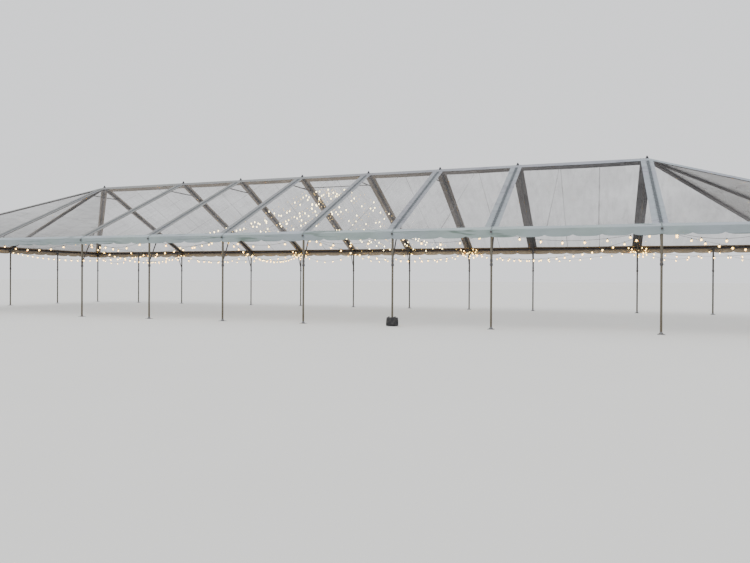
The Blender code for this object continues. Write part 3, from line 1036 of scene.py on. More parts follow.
class MARQUEE_OT_strings(MarqueeOperator):
    """Adds the festoon strings along the eaves and across the tent, with their warm bulbs"""

    bl_idname = "marquee.strings"
    bl_label = "Light strings"

    def execute(self, context):
        front = -HALF_WIDTH
        back = HALF_WIDTH
        back_x = [x for x in SIDE_LEG_X if x != FRAME_X[-2]]
        left_posts = [
            (-EAVE_END, 0),
            (FRAME_X[3], front),
            (FRAME_X[2], back),
            (FRAME_X[1], front),
            (FRAME_X[0], back),
        ]
        right_posts = [
            (FRAME_X[4], front),
            (FRAME_X[5], back),
            (FRAME_X[7], front),
            (EAVE_END, 0),
            (FRAME_X[7], back),
        ]
        front_posts = [(x, front) for x in SIDE_LEG_X]
        back_posts = [(x, back) for x in back_x]
        strings = [
            ("front", side_route(-1, SIDE_LEG_X, FRONT_SAG), 0.60, front_posts, 0.03),
            ("back", side_route(1, back_x, BACK_SAG), 0.46, back_posts, 0.03),
            ("left_cross", cross_route(left_posts), 0.58, left_posts, 0.08),
            ("right_cross", cross_route(right_posts), 0.58, right_posts, 0.08),
        ]
        bulb = bulb_model()
        tie = tie_model()
        coil = coil_model()
        for label, route, gap, posts, drop in strings:
            name = label + "_light_string"
            places = spots(route, gap / 2, gap)
            extras = [put(tie, eave(x, y) + DOWN * (drop + 0.012)) for x, y in posts]
            for x, y in posts:
                if label == "back" and x in FRAME_X:
                    extras.append(put(coil, (x + 0.05, y - 0.085, EAVE_HEIGHT)))
            bulbs = hang_bulbs(name + "_bulbs", places, extras, bulb)
            hang_cord(name + "_cord", route, CORD_DIAMETER, name)
        self.add_tails(bulb)
        drop_model(bulb, tie, coil)
        return {"FINISHED"}

    def add_tails(self, bulb):
        """Spare string in loose loops at the heads of three back legs, with its bulbs."""
        for number, x in enumerate((FRAME_X[2], FRAME_X[5], FRAME_X[7]), start=1):
            head = hook(x, HALF_WIDTH, SIDE_HOOK_DROP)
            route = []
            for step in range(LOOP_STEPS + 1):
                turn = LOOP_TURN * step / LOOP_STEPS
                out = LOOP_REACH * math.sin(turn)
                back = -0.05 * (1 - math.cos(0.8 * turn)) - 0.006 * turn
                rise = LOOP_HEIGHT * (math.cos(1.5 * turn - LOOP_LAG) - math.cos(LOOP_LAG))
                route.append(head + Vector((out, back, rise)))
            name = f"leg_light_tail_{number}"
            bulbs = hang_bulbs(name + "_bulbs", spots(route, 0.03, 0.2), [], bulb)
            hang_cord(name, route, CORD_DIAMETER)


class MARQUEE_OT_curtain(MarqueeOperator):
    """Adds the curtain of small lights that fans from the bar to both eaves"""

    bl_idname = "marquee.curtain"
    bl_label = "Curtain of small lights"

    def execute(self, context):
        size = sizes()
        chance = random.Random("curtain")
        lamps = [
            self.lamp_model(size.lamp_radius, "lamp"),
            self.lamp_model(size.lamp_radius * 0.62, "dim_lamp"),
        ]
        fans = [(-1, size.front_strands, -2.7, 1.2), (1, size.back_strands, -1.5, 4.1)]
        for side, count, first, last in fans:
            for number in range(count):
                share = number / (count - 1)
                start_x = -1.15 + 2.1 * share + chance.uniform(-0.08, 0.08)
                end_x = first + (last - first) * share + chance.uniform(-0.1, 0.1)
                if abs(abs(end_x) - FRAME_X[4]) < 0.09:
                    end_x += 0.18
                self.add_strand(side, number, start_x, end_x, chance, lamps)
        drop_model(*lamps)
        return {"FINISHED"}

    def lamp_model(self, radius, material):
        """A small lamp that hangs long from the wire, with a tip."""
        add = bpy.ops.mesh.primitive_ico_sphere_add
        lamp = primitive("fairy_lamp", add, subdivisions=1, radius=radius)
        pick(lamp, lambda vertex: vertex.co.z < 0, "VERT")
        bpy.ops.transform.translate(value=(0, 0, -radius * 1.1))
        leave_edit()
        return paint(lamp, material)

    def add_strand(self, side, number, start_x, end_x, chance, models):
        """One strand of small lamps, most of them faint or out of sight."""
        start = Vector((start_x, side * 0.012, TIE_HEIGHT - 0.016))
        end = Vector((end_x, side * (HALF_WIDTH - 0.041), EAVE_HEIGHT + 0.004))
        route = [start, *swag(start, end, chance.uniform(0.18, 0.44), 24)]
        name = f"{'front' if side < 0 else 'back'}_fairy_strand_{number + 1}"
        lamps = []
        for place in spots(route, chance.uniform(0.1, 0.5), STRAND_GAP):
            luck = chance.random()
            if luck < 0.52:
                continue
            drop = Vector((0, 0, -chance.uniform(0.004, 0.012)))
            tilt = Matrix.Rotation(chance.uniform(-0.4, 0.4), 4, "X")
            model = models[0] if luck > 0.78 else models[1]
            lamps.append(stamp(model, Matrix.Translation(place + drop) @ tilt))
        lights = settle(joined(name + "_lamps", lamps), "bulb_glass")
        hang_cord(name, route, WIRE_DIAMETER, resolution=1)


class MARQUEE_OT_ridge(MarqueeOperator):
    """Adds the ridge tube with its crown fittings and dark pins"""

    bl_idname = "marquee.ridge"
    bl_label = "Ridge"

    def execute(self, context):
        arm, end_sleeve, sleeve = fittings("arm", "end_sleeve", "sleeve")
        pin = pin_model()
        pieces = [main_tube(crown(-RIDGE_END), crown(RIDGE_END), "tube_x")]
        for x in FRAME_X:
            pieces.append(put(pin, crown(x)))
            pieces += [lay(arm, crown(x), downhill(0, side)) for side in (-1, 1)]
        pieces += [lay(sleeve, crown(x), (1, 0, 0)) for x in FRAME_X[1:-1]]
        for end in (-1, 1):
            top = crown(end * RIDGE_END)
            pieces.append(lay(end_sleeve, top, (-end, 0, 0)))
            pieces += [lay(arm, top, downhill(end, side)) for side in (0, -1, 1)]
        drop_model(arm, end_sleeve, sleeve, pin)
        settle(joined("ridge_dressed", pieces), "frame_metal", "ridge_tube")
        return {"FINISHED"}


class MARQUEE_OT_rails(MarqueeOperator):
    """Adds the four eave rails with their fittings over the legs"""

    bl_idname = "marquee.rails"
    bl_label = "Eave rails"

    def execute(self, context):
        models = fittings("arm", "leg_arm", "end_sleeve", "sleeve")
        for side, name in ((-1, "front"), (1, "back")):
            self.add_rail(name, self.side_pieces(side, *models))
        for end, name in ((-1, "left"), (1, "right")):
            self.add_rail(name, self.end_pieces(end, *models))
        drop_model(*models)
        return {"FINISHED"}

    def add_rail(self, name, pieces):
        settle(joined(f"{name}_rail_dressed", pieces), "frame_metal", f"{name}_eave_rail")

    def side_pieces(self, side, arm, leg_arm, end_sleeve, sleeve):
        y = side * HALF_WIDTH
        pieces = [main_tube(eave(-EAVE_END, y), eave(EAVE_END, y), "tube_x")]
        pieces += [lay(leg_arm, eave(x, y), DOWN) for x in SIDE_LEG_X]
        pieces += [lay(sleeve, eave(x, y), (1, 0, 0)) for x in SIDE_LEG_X[1:-1]]
        pieces += [lay(arm, eave(x, y), -downhill(0, side)) for x in FRAME_X]
        for end in (-1, 1):
            corner = eave(end * EAVE_END, y)
            pieces.append(lay(arm, corner, (0, -side, 0)))
            pieces.append(lay(arm, corner, -downhill(end, side)))
            pieces.append(lay(end_sleeve, corner, (-end, 0, 0)))
        return pieces

    def end_pieces(self, end, arm, leg_arm, end_sleeve, sleeve):
        reach = HALF_WIDTH - RAFTER_ARM - SEAT
        x = end * EAVE_END
        pieces = [main_tube(eave(x, -reach), eave(x, reach), "tube_y")]
        pieces.append(lay(arm, eave(x, 0), -downhill(end, 0)))
        for y in END_LEG_Y:
            pieces.append(lay(sleeve, eave(x, y), (0, 1, 0)))
            pieces.append(lay(leg_arm, eave(x, y), DOWN))
        return pieces


def between_arms(start, end, look):
    """A main tube that stops at the arms of the fittings at two points."""
    inset = (end - start).normalized() * (RAFTER_ARM + SEAT)
    return main_tube(start + inset, end - inset, look, 20)


def clamp(place, direction, radius=CLAMP_RADIUS, wide=0.06):
    """A split clamp round a tube."""
    half = Vector(direction).normalized() * wide / 2
    return tube(Vector(place) - half, Vector(place) + half, radius, 0.004, "casting", 18)


class MARQUEE_OT_rafters(MarqueeOperator):
    """Adds the rafter frames with their collar ties and knee braces"""

    bl_idname = "marquee.rafters"
    bl_label = "Rafter frames"

    def execute(self, context):
        tie_half = (RIDGE_HEIGHT - TIE_HEIGHT) / SLOPE
        knots = [Vector((0, side * tie_half, TIE_HEIGHT)) for side in (-1, 1)]
        pieces = [tube(*knots, TIE_RADIUS, 0.003, "tube_y", 16)]
        for side, knot in zip((-1, 1), knots):
            y = side * HALF_WIDTH
            pieces.append(between_arms(crown(0), eave(0, y), "tube_y"))
            top = eave(0, y - side * BRACE_REACH) - DOWN * (BRACE_REACH * SLOPE)
            knee = Vector((0, y, BRACE_HEIGHT))
            along = (top - knee).normalized()
            gap = (UPPER_LEG_RADIUS + BRACE_RADIUS * along.z + SEAT) / abs(along.y)
            pieces.append(tube(knee + along * gap, top, BRACE_RADIUS, 0.003, "tube_y", 14))
            pieces.append(clamp(top, downhill(0, side)))
            pieces.append(clamp(knee, (0, 0, 1), 0.041, 0.07))
            pieces.append(clamp(knot, downhill(0, side), wide=0.09))
        model = joined("rafter_frame", pieces)
        for number, x in enumerate(FRAME_X, start=1):
            copy = put(model, (x, 0, 0), f"rafter_frame_dressed_{number}")
            settle(copy, "frame_metal", f"rafter_frame_{number}")
        drop_model(model)
        return {"FINISHED"}


class MARQUEE_OT_hips(MarqueeOperator):
    """Adds the hip rafters and the middle rafter of each end"""

    bl_idname = "marquee.hips"
    bl_label = "Hip rafters"

    def execute(self, context):
        for end, end_name in ((-1, "left"), (1, "right")):
            top = crown(end * RIDGE_END)
            for side, side_name in ((-1, "front_"), (0, ""), (1, "back_")):
                low = eave(end * EAVE_END, side * HALF_WIDTH)
                node = f"{side_name}{end_name}_{'hip' if side else 'end'}_rafter"
                pieces = [between_arms(top, low, "tube_y" if side else "tube_x")]
                along = (low - top).normalized()
                reach = along * (RAFTER_ARM + 0.05)
                for place in (top + reach, low - reach):
                    pieces.append(clamp(place, along, 0.0395, 0.02))
                settle(joined(node + "_dressed", pieces), "frame_metal", node)
        return {"FINISHED"}


def foot_model():
    """A foot plate with four nail holes and two welded gussets."""
    level = FOOT_THICKNESS / 2
    plate = rounded_block((0, 0, level), (0.2, 0.2, FOOT_THICKNESS), 0.003, "plate")
    nails = (-NAIL_PLACE, NAIL_PLACE)
    holes = [bar((x, y, -0.01), (x, y, 0.03), 0.009, "plate", 12) for x in nails for y in nails]
    cutter = joined("holes", holes)
    add_modifier(plate, "BOOLEAN", operation="DIFFERENCE", solver="EXACT", object=cutter)
    drop_model(cutter)
    pieces = [plate]
    for way in (-1, 1):
        x = way * 0.052
        gusset = rounded_block((x, 0, 0.034), (0.05, 0.005, 0.05), 0.001, "plate", 1)
        pick(gusset, lambda face: True)
        bpy.ops.mesh.bisect(
            plane_co=(x, 0, 0.036), plane_no=(way * 0.7, 0, 0.7), use_fill=True, clear_outer=True
        )
        leave_edit()
        pieces.append(gusset)
    return joined("foot", pieces)


class MARQUEE_OT_legs(MarqueeOperator):
    """Adds the thirty telescopic legs on their foot plates"""

    bl_idname = "marquee.legs"
    bl_label = "Legs"

    def execute(self, context):
        joint = LEG_JOINT_HEIGHT
        collar_top = joint + COLLAR_LENGTH
        top = EAVE_HEIGHT - LEG_ARM - SEAT
        lower = sizes().lower_leg_radius
        pieces = [
            upright(tube, joint + 0.01, top, UPPER_LEG_RADIUS, 0.003, "leg"),
            upright(tube, FOOT_THICKNESS / 2, collar_top, lower, 0.003, "leg"),
            round_rims(upright(tube, joint, collar_top, 0.044, 0.007, "casting"), 0.04),
            upright(tube, 0.008, 0.075, lower + 0.005, 0.004, "plate"),
            bar((-0.056, 0, LEG_PIN_HEIGHT), (0.056, 0, LEG_PIN_HEIGHT), 0.005, "pin", 10),
            paint(ring(0.016, 0.002, 16, location=(0.058, 0, LEG_PIN_HEIGHT - 0.015)), "pin"),
            foot_model(),
        ]
        for step in range(8):
            height = 0.30 + step * 0.2
            for way in (-1, 1):
                ends = [(0, way * (lower + deep), height) for deep in (-0.0005, 0.0006)]
                pieces.append(bar(*ends, 0.006, "pin", 10))
        model = joined("leg", pieces)
        for side, name in ((-1, "front"), (1, "back")):
            for number, x in enumerate(SIDE_LEG_X, start=1):
                self.add(model, (x, side * HALF_WIDTH, 0), f"{name}_leg_{number}")
        for end, name in ((-1, "left"), (1, "right")):
            for number, y in enumerate(END_LEG_Y, start=1):
                self.add(model, (end * EAVE_END, y, 0), f"{name}_end_leg_{number}")
        drop_model(model)
        return {"FINISHED"}

    def add(self, model, place, node):
        settle(put(model, place, node + "_dressed"), "frame_metal", node)


class MARQUEE_OT_light_bar(MarqueeOperator):
    """Adds the slim bar that carries the curtain of small lights"""

    bl_idname = "marquee.light_bar"
    bl_label = "Light bar"

    def execute(self, context):
        low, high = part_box("light_bar")
        ends = [Vector((x, 0, TIE_HEIGHT)) for x in (low.x, high.x)]
        pieces = [tube(*ends, 0.016, 0.002, "casting", 14)]
        for x in (low.x + 0.02, -0.6, 0.6, high.x - 0.02):
            pieces.append(clamp((x, 0, TIE_HEIGHT), (1, 0, 0), 0.0175, 0.03))
        settle(joined("light_bar_dressed", pieces), "frame_metal", "light_bar")
        return {"FINISHED"}


class Slope:
    """One slope of the roof, on which a place is a distance along the eave and a run down it."""

    def __init__(self, name, sign, is_end):
        self.name = name
        self.sign = sign
        self.is_end = is_end
        self.outward = Vector((sign, 0, 0)) if is_end else Vector((0, sign, 0))
        self.normal = (self.outward * SLOPE - DOWN).normalized()
        self.vinyl = "end_vinyl" if is_end else "vinyl"

    def point(self, along, run, lift):
        level = RIDGE_HEIGHT + COVER_LIFT - SLOPE * run
        x, y = (self.sign * (RIDGE_END + run), along) if self.is_end else (along, self.sign * run)
        return Vector((x, y, level)) + self.normal * (lift - self.sag(along, run))

    def bay(self, along, run):
        """Where the bay of a place starts, how wide it is there, and the place's share of it."""
        if self.is_end or abs(along) > RIDGE_END:
            start = 0.0 if self.is_end else RIDGE_END
            wide = max(run, 0.01)
            return start, wide, (abs(along) - start) / wide
        bays = zip(FRAME_X, FRAME_X[1:])
        left, right = next(pair for pair in bays if along <= pair[1] + 1e-6)
        return left, right - left, (along - left) / (right - left)

    def sag(self, along, run):
        """How far the sheet hangs below its plane, with small gathers beside the rafters."""
        start, wide, share = self.bay(along, run)
        share = min(1.0, max(0.0, share))
        ends = max(0.0, math.sin(math.pi * min(1.0, run / HALF_WIDTH))) ** 0.6
        edge = min(share, 1 - share) * wide
        fade = math.exp(-edge / 0.45) * min(1.0, edge / 0.1)
        gather = 0.004 * math.sin(run * 9.4 + start * 2.1) * fade
        return (sizes().roof_sag * wide * 4 * share * (1 - share) + gather) * ends


def slopes():
    sides = (("front", -1, False), ("back", 1, False), ("left", -1, True), ("right", 1, True))
    return [Slope(*side) for side in sides]


def ridge_band(side):
    """Width of the ridge band on that side of the ridge."""
    return sizes().front_ridge_band if side < 0 else sizes().back_ridge_band


def grid_sheet(name, columns, rows, place, outward):
    """A flat grid whose points are moved to place(column, row), with its face outward."""
    add = bpy.ops.mesh.primitive_grid_add
    sheet = primitive(name, add, x_subdivisions=columns, y_subdivisions=rows, size=2)
    if len(sheet.data.vertices) != (columns + 1) * (rows + 1):
        raise RuntimeError(f"{name}: the grid has {len(sheet.data.vertices)} points")
    for vertex in sheet.data.vertices:
        column = round((vertex.co.x + 1) / 2 * columns)
        row = round((vertex.co.y + 1) / 2 * rows)
        vertex.co = place(column, row)
    sheet.data.update()
    middle_face = sheet.data.polygons[len(sheet.data.polygons) // 2]
    if middle_face.normal.dot(outward) < 0:
        sheet.data.flip_normals()
    return sheet


def thicken(sheet, thickness, inner_step=0):
    """Gives a sheet its thickness below its face, with the next material but inner_step inside."""
    add_modifier(
        sheet,
        "SOLIDIFY",
        thickness=thickness,
        offset=-1,
        use_even_offset=True,
        material_offset=inner_step,
    )
    return smooth(sheet, 40)


def strip(name, slope, edges, first_run, last_run, rows, lift, columns=2):
    """A band down a slope between two edges, which are distances along the eave at each run."""

    def place(column, row):
        run = first_run + (last_run - first_run) * row / rows
        low, high = edges(run)
        return slope.point(low + (high - low) * column / columns, run, lift)

    return grid_sheet(name, columns, rows, place, slope.normal)


class MARQUEE_OT_clear_roof(MarqueeOperator):
    """Adds the clear vinyl sheets, which sag a little between the rafters"""

    bl_idname = "marquee.clear_roof"
    bl_label = "Clear roof"

    def execute(self, context):
        size = sizes()
        right_edge = size.lace_gap / 2 + size.rafter_band_right - TUCK
        left_edge = size.lace_gap / 2 + size.rafter_band_left - TUCK
        end_edge = size.end_gap / 2 + size.end_band - TUCK
        self.bottom = EAVE_EDGE - size.eave_band + TUCK
        for slope in slopes():
            base, edge = (0, end_edge) if slope.is_end else (RIDGE_END, right_edge)
            panels = []
            if not slope.is_end:
                for left, right in zip(FRAME_X, FRAME_X[1:]):
                    panels.append(self.bay_panel(slope, left + right_edge, right - left_edge))
            for way in (-1, 1):
                hip = base - (size.hip_band - TUCK)
                panels.append(self.hip_panel(slope, way, base + edge, hip))
            for number, (sheet, flat, area) in enumerate(panels, start=1):
                sheet.name = f"{slope.name}_clear_sheet_{number}"
                settle(thicken(sheet, CLEAR_THICKNESS), "roof_vinyl")
                borders = [f"{slope.name}_{part}" for part in ("bands", "lace_flaps", "lacing")]
                [bpy.data.objects[part] for part in borders] if number == 1 else []
            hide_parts(f"{slope.name}_cover")
        return {"FINISHED"}

    def bay_panel(self, slope, start, end):
        """One bay's sheet, with welded seams at its middle or thirds."""
        wide = end - start
        top = ridge_band(slope.sign) - TUCK
        parts = 2 if wide < 3.5 else 3
        half_seam = 0.014
        places = []
        for part in range(parts):
            low = start + wide * part / parts + (half_seam if part else 0)
            high = start + wide * (part + 1) / parts - (half_seam if part < parts - 1 else 0)
            places += [low + (high - low) * step / 7 for step in range(8)]
        columns = len(places) - 1

        def place(column, row):
            run = top + (self.bottom - top) * row / CLEAR_ROWS
            return slope.point(places[column], run, CLEAR_LIFT)

        sheet = grid_sheet("clear_sheet", columns, CLEAR_ROWS, place, slope.normal)
        paint(sheet, slope.vinyl, "seam")
        for face in sheet.data.polygons:
            centre = face.center.x
            share = [i for i in range(columns) if places[i] <= centre <= places[i + 1]]
            face.material_index = 1 if share and share[0] % 8 == 7 else 0
        return sheet, (wide, (self.bottom - top) * math.hypot(1, SLOPE)), None

    def hip_panel(self, slope, way, start, hip):
        """The three-cornered sheet between a rafter and a hip, which lies at hip plus the run."""
        top = start - hip + 0.01

        def edges(run):
            return way * start, way * max(start + 0.002, hip + run)

        sheet = strip("clear_sheet", slope, edges, top, self.bottom, CLEAR_ROWS, CLEAR_LIFT, 14)
        paint(sheet, slope.vinyl)
        wide = hip + self.bottom - start
        long = (self.bottom - top) * math.hypot(1, SLOPE)
        return sheet, (wide, long), wide * long / 2


class MARQUEE_OT_borders(MarqueeOperator):
    """Adds the pale bands along ridge, rafters, hips and eaves, and the scalloped valance"""

    bl_idname = "marquee.borders"
    bl_label = "Borders and valance"

    def execute(self, context):
        self.add_ridge_band()
        for slope in slopes():
            self.add_bands(slope)
            self.add_eave(slope)
        return {"FINISHED"}

    def add_ridge_band(self):
        """The band over the ridge, one sheet that bends over the ridge tube, cut along the hips."""
        rows = 16
        columns = 160
        soft = 0.018
        slope = Slope("front", -1, False)

        def place(column, row):
            share = 2 * row / rows - 1
            run = share * ridge_band(share)
            x = (RIDGE_END + abs(run)) * (2 * column / columns - 1)
            level = RIDGE_HEIGHT + COVER_LIFT + RIDGE_BAND_LIFT - slope.sag(x, abs(run))
            return Vector((x, run, level - SLOPE * (math.hypot(run, soft) - soft / 2)))

        band = grid_sheet("ridge_band", columns, rows, place, -DOWN)
        # The inner face of the ridge band takes band_back, its painted shade.
        paint(band, "band", "band_back")
        settle(thicken(band, BORDER_THICKNESS, 1), "border_vinyl")
        wide = ridge_band(-1) + ridge_band(1)
        flat = (2 * RIDGE_END + wide / 2, wide * math.hypot(1, SLOPE))

    def add_bands(self, slope):
        """The bands along rafters and hips, with the flaps, lacing and straps of the joins."""
        size = sizes()
        half = (size.end_gap if slope.is_end else size.lace_gap) / 2
        left_band = size.end_band if slope.is_end else size.rafter_band_left
        right_band = size.end_band if slope.is_end else size.rafter_band_right
        top = ridge_band(1 if slope.is_end else slope.sign) - 0.02
        low = EAVE_EDGE - size.eave_band + 0.01
        bands = []
        flaps = []
        laces = []
        straps = []
        grommet = self.grommet_model()
        buckle = self.buckle_model()
        if slope.is_end:
            apex = strip("apex", slope, lambda run: (-run, run), 0.004, top + 0.02, 6, APEX_LIFT)
            bands.append(apex)
        for rafter in [0.0] if slope.is_end else FRAME_X:
            left = rafter - half
            right = rafter + half
            for edges in ((left - left_band, left), (right, right + right_band)):
                level = self.level_edges(*edges)
                bands.append(strip("band", slope, level, top, low, BAND_ROWS, BAND_LIFT, 3))
            # The flap under each lace gap is dark: painted shade over the rafter.
            level = self.level_edges(left - 0.01, right + 0.01)
            flaps.append(strip("flap", slope, level, top, low, BAND_ROWS, FLAP_LIFT))
            laces += self.lace(slope, rafter, half + 0.012, top, low, grommet)
            straps += self.strap(slope, rafter, buckle)
        drop_model(grommet, buckle)
        base = 0 if slope.is_end else RIDGE_END
        for way in (-1, 1):

            def hip_edges(run, way=way):
                return way * max(base, base + run - size.hip_band), way * (base + run - 0.001)

            hip = strip("hip_band", slope, hip_edges, 0.02, low, BAND_ROWS, HIP_BAND_LIFT, 3)
            bands.append(hip)
        # The inner faces of the bands take band_back, their painted shade.
        for band in bands:
            paint(band, "band", "band_back")
        for flap in flaps:
            paint(flap, "webbing")
        settle(thicken(joined(f"{slope.name}_bands", bands), BORDER_THICKNESS, 1), "border_vinyl")
        settle(thicken(joined(f"{slope.name}_lace_flaps", flaps), FLAP_THICKNESS), "border_vinyl")
        for part, pieces in (("lacing", laces), ("join_straps", straps)):
            settle(joined(f"{slope.name}_{part}", pieces), "border_vinyl")

    def level_edges(self, low, high):
        return lambda run: (low, high)

    def grommet_model(self):
        """A metal ring in a band's edge, flat on the XY plane, with its pressed lip."""
        grommet = ring(0.012, 0.0038, 8, 4)
        pick(grommet, lambda vertex: vertex.co.z < -0.002, "VERT")
        bpy.ops.transform.resize(value=(1.12, 1.12, 1))
        leave_edit()
        return paint(grommet, "casting")

    def buckle_model(self):
        """A cam buckle that faces -Y: a rounded frame, hollow at the front, and its bar."""
        body = rounded_block((0, 0, 0), (0.060, 0.012, 0.052), 0.004, "casting")
        pick(body, lambda face: face.normal.y < -0.9)
        bpy.ops.mesh.inset(thickness=0.008)
        extrude((0, 0.005, 0))
        leave_edit()
        cam = bar((-0.027, -0.005, 0.004), (0.027, -0.005, 0.004), 0.004, "pin", 8)
        return joined("buckle", [body, cam])

    def lace(self, slope, rafter, half, top, low, grommet):
        """A rope that zigzags over a rafter from band to band, through a grommet at each turn."""
        steps = int((low - top) / LACE_PITCH)
        turn = slope.normal.to_track_quat("Z", "Y").to_matrix().to_4x4()
        rings = []
        route = []
        for step in range(steps + 1):
            run = top + (low - top) * step / steps
            edge = rafter + (half if step % 2 else -half)
            route += [slope.point(edge, run + shift, LACE_LIFT) for shift in (-0.012, 0.012)]
            for way in (-1, 1):
                place = slope.point(rafter + way * (half + 0.006), run, GROMMET_LIFT)
                rings.append(stamp(grommet, Matrix.Translation(place) @ turn))
        select(cord_curve("lace", route, 0.007, "rope", 1))
        bpy.ops.object.convert(target="MESH")
        return [bpy.context.object, *rings]

    def strap(self, slope, rafter, buckle):
        """The strap that closes a join over the eave, with its buckle on the valance."""
        low = EAVE_EDGE - sizes().eave_band - 0.03
        path = [(low + (EAVE_EDGE - 0.012 - low) * step / 5, 0.0, 0.0) for step in range(6)]
        path += [(EAVE_EDGE - 0.003, 0.002, 0.002), (EAVE_EDGE, 0.010, 0.008)]
        path += [(EAVE_EDGE, 0.05, 0.012), (EAVE_EDGE, 0.10, 0.014), (EAVE_EDGE, 0.135, 0.018)]
        outward = slope.outward

        def place(column, row):
            run, drop, out = path[row]
            along = rafter + (column - 1) * 0.022
            return slope.point(along, run, STRAP_LIFT) + DOWN * drop + outward * out

        webbing = grid_sheet("strap", 2, len(path) - 1, place, slope.normal)
        thicken(paint(webbing, "join_strap"), STRAP_THICKNESS)
        run, drop, out = path[-3]
        spot = slope.point(rafter, run, STRAP_LIFT) + DOWN * (drop + 0.022)
        spot += outward * (out + 0.009)
        turn = Matrix.Rotation(math.atan2(outward.x, -outward.y), 4, "Z")
        return [webbing, stamp(buckle, Matrix.Translation(spot) @ turn)]

    def add_eave(self, slope):
        """The eave bands and valances of a slope, one for each section, which lap at the joins."""
        corner = (HALF_WIDTH if slope.is_end else EAVE_END) + EAVE_EDGE - HALF_WIDTH
        joins = [-corner, *([0.0] if slope.is_end else FRAME_X), corner]
        for number, (start, end) in enumerate(zip(joins, joins[1:]), start=1):
            sheet = self.eave_section(slope, number, start, end, corner)
            end - start

    def eave_section(self, slope, number, start, end, corner):
        """One section's eave band and valance, a sheet that turns down over the eave."""
        size = sizes()
        inner = EAVE_EDGE - size.eave_band
        runs = [inner + (EAVE_EDGE - 0.012 - inner) * step / 5 for step in range(6)]
        drops = [0.0] * len(runs) + [0.001, 0.004]
        runs += [EAVE_EDGE - 0.003, EAVE_EDGE]
        top_rows = len(runs) - 1
        hang_rows = 8
        lap = 0.03
        lift = ODD_EAVE_LIFT if number % 2 else EVEN_EAVE_LIFT
        steps = 10
        columns = steps * max(1, round((end - start) / size.scallop_width))

        def edges(run):
            """The ends of the section at that run: mitred at a corner, lapped at a join."""
            mitre = corner - (EAVE_EDGE - run) - 0.001
            first = -mitre if start == -corner else start - lap
            last = mitre if end == corner else end + lap
            return first, last

        def place(column, row):
            run = runs[min(row, top_rows)]
            first, last = edges(run)
            along = first + (last - first) * column / columns
            point = slope.point(along, run, lift)
            if row <= top_rows:
                return point + DOWN * drops[row]
            beat = abs((column / steps) % 1 * 2 - 1)
            drop = size.valance_drop - size.scallop_rise * beat**4
            fall = (row - top_rows) / hang_rows
            swing = 0.010 * math.sin(along * 8.2 + slope.sign) + 0.008 * math.sin(along * 2.9 + 1)
            swing += 0.005 * math.sin(along * 19 + 2 * fall)
            out = slope.outward * (swing * fall - 0.002)
            return point + DOWN * (0.004 + (drop - 0.006) * fall) + out

        name = f"{slope.name}_eave_and_valance_{number}"
        sheet = grid_sheet(name, columns, top_rows + hang_rows, place, slope.normal)
        paint(sheet, "eave", "eave_back", "valance", "valance_back")
        # Faces that hang down take the valance finish, a darker copy of the eave's tones as painted
        # shade.
        for face in sheet.data.polygons:
            face.material_index = 0 if abs(face.normal.z) > 0.6 else 2
        return settle(thicken(sheet, VALANCE_THICKNESS, 1), "border_vinyl")


class MARQUEE_OT_ballast(MarqueeOperator):
    """Adds the black ballast bag that hugs one front leg"""

    bl_idname = "marquee.ballast"
    bl_label = "Ballast bag"

    def execute(self, context):
        low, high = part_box("leg_weight")
        size = high - low
        centre = (low + high) / 2
        bag = cube("ballast_bag", centre, size)
        channel = 0.031

        def is_over_channel(face):
            shift = face.calc_center_median().x - centre.x
            return face.normal.y > 0.9 and abs(shift) < channel

        for x in (-channel, channel):
            pick(bag, lambda face: True)
            bpy.ops.mesh.bisect(plane_co=(centre.x + x, 0, 0), plane_no=(1, 0, 0))
        pick(bag, is_over_channel)
        extrude((0, -(size.y / 2 + channel), 0))
        pick(bag, lambda face: True)
        bpy.ops.mesh.subdivide(number_cuts=3)
        leave_edit()
        self.fill(bag, centre, size)
        add_modifier(bag, "SUBSURF", levels=2, render_levels=2)
        for vertex in bag.data.vertices:
            vertex.co.z = max(vertex.co.z, low.z + 0.001)
            vertex.co.x = min(max(vertex.co.x, low.x), high.x)
        paint(smooth(bag, 60), "canvas")
        settle(bag, "ballast_bag", "leg_weight")
        self.add_straps(centre, low)
        return {"FINISHED"}

    def fill(self, bag, centre, size):
        """Pulls the top in and lets the lower half bulge, as loose ballast does."""
        for vertex in bag.data.vertices:
            height = (vertex.co.z - (centre.z - size.z / 2)) / size.z
            pull = 1.0 - 0.16 * max(0.0, height - 0.35) ** 1.5
            vertex.co.x = centre.x + (vertex.co.x - centre.x) * pull
            slump = 0.012 * math.sin(vertex.co.x * 31) * math.sin(vertex.co.z * 17 + 0.6)
            if vertex.co.y < centre.y - 0.05 or height > 0.95:
                vertex.co.y += slump
                vertex.co.z += slump * 0.6 if height > 0.95 else 0

    def add_straps(self, centre, low):
        """Two carrying handles over the top and a belt round the bag's front."""
        straps = []
        for way in (-1, 1):
            place = (centre.x + way * 0.10, low.y + 0.002, centre.z - 0.02)
            strap = cube("strap", place, (0.034, 0.005, 0.14))
            pick(strap, lambda face: face.normal.z > 0.9)
            for y, z in ((0.012, 0.06), (0.035, 0.045), (0.05, 0.012), (0.05, -0.022)):
                extrude((0, y, z))
            leave_edit()
            add_modifier(strap, "SUBSURF", levels=1, render_levels=1)
            straps.append(paint(strap, "strap"))
        front = (centre.x, low.y + 0.003, centre.z - 0.045)
        straps.append(rounded_block(front, (0.3, 0.006, 0.03), 0.002, "strap"))
        settle(joined("ballast_straps", straps), "ballast_bag")


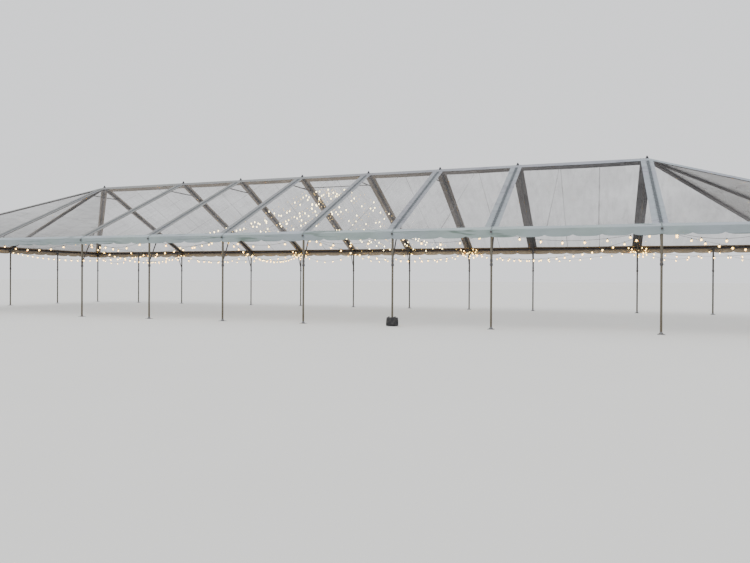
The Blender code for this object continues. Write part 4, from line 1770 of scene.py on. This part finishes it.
class MARQUEE_OT_stage(MarqueeOperator):
    """Adds the plain pale floor and the soft light"""

    bl_idname = "marquee.stage"
    bl_label = "Stage"

    def execute(self, context):
        add = bpy.ops.mesh.primitive_circle_add
        floor = primitive("stage_floor", add, vertices=96, radius=60, fill_type="NGON")
        pick(floor, lambda edge: True, "EDGE")
        extrude((0, 0, 0))
        bpy.ops.transform.resize(value=(10, 10, 1))
        leave_edit()
        paint(floor, "floor")
        world = bpy.data.worlds.new("soft_sky")
        world.use_nodes = True
        ground = world.node_tree.nodes["Background"]
        ground.inputs["Color"].default_value = (0.80, 0.81, 0.83, 1)
        ground.inputs["Strength"].default_value = 1.5
        context.scene.world = world
        bpy.ops.object.light_add(type="SUN", rotation=(math.radians(48), 0, math.radians(-35)))
        sun = context.object
        sun.name = "soft_key"
        sun.data.energy = 1.9
        sun.data.angle = math.radians(50)
        sun.data.color = (1.0, 0.97, 0.93)
        return {"FINISHED"}


OPERATORS = (
    MARQUEE_OT_camera,
    MARQUEE_OT_strings,
    MARQUEE_OT_curtain,
    MARQUEE_OT_ridge,
    MARQUEE_OT_rails,
    MARQUEE_OT_rafters,
    MARQUEE_OT_hips,
    MARQUEE_OT_legs,
    MARQUEE_OT_light_bar,
    MARQUEE_OT_borders,
    MARQUEE_OT_clear_roof,
    MARQUEE_OT_ballast,
    MARQUEE_OT_stage,
)


class MARQUEE_PT_panel(bpy.types.Panel):
    """Lists the marquee's operators, sizes and colours"""

    bl_idname = "MARQUEE_PT_panel"
    bl_label = "Marquee"
    bl_space_type = "VIEW_3D"
    bl_region_type = "UI"
    bl_category = "Marquee"

    def draw(self, context):
        for operator in OPERATORS:
            self.layout.operator(operator.bl_idname)
        for group in (context.scene.marquee_sizes, context.scene.marquee_colours):
            for name in group.bl_rna.properties.keys():
                if name not in ("rna_type", "name"):
                    self.layout.prop(group, name)


CLASSES = (MarqueeSizes, MarqueeColours, *OPERATORS, MARQUEE_PT_panel)


def register():
    for kind in CLASSES:
        bpy.utils.register_class(kind)
    bpy.types.Scene.marquee_sizes = PointerProperty(type=MarqueeSizes)
    bpy.types.Scene.marquee_colours = PointerProperty(type=MarqueeColours)


def unregister():
    del bpy.types.Scene.marquee_colours
    del bpy.types.Scene.marquee_sizes
    for kind in reversed(CLASSES):
        bpy.utils.unregister_class(kind)


def main():
    register()
    for operator in OPERATORS:
        family, action = operator.bl_idname.split(".")
        getattr(getattr(bpy.ops, family), action)()


if __name__ == "__main__":
    main()
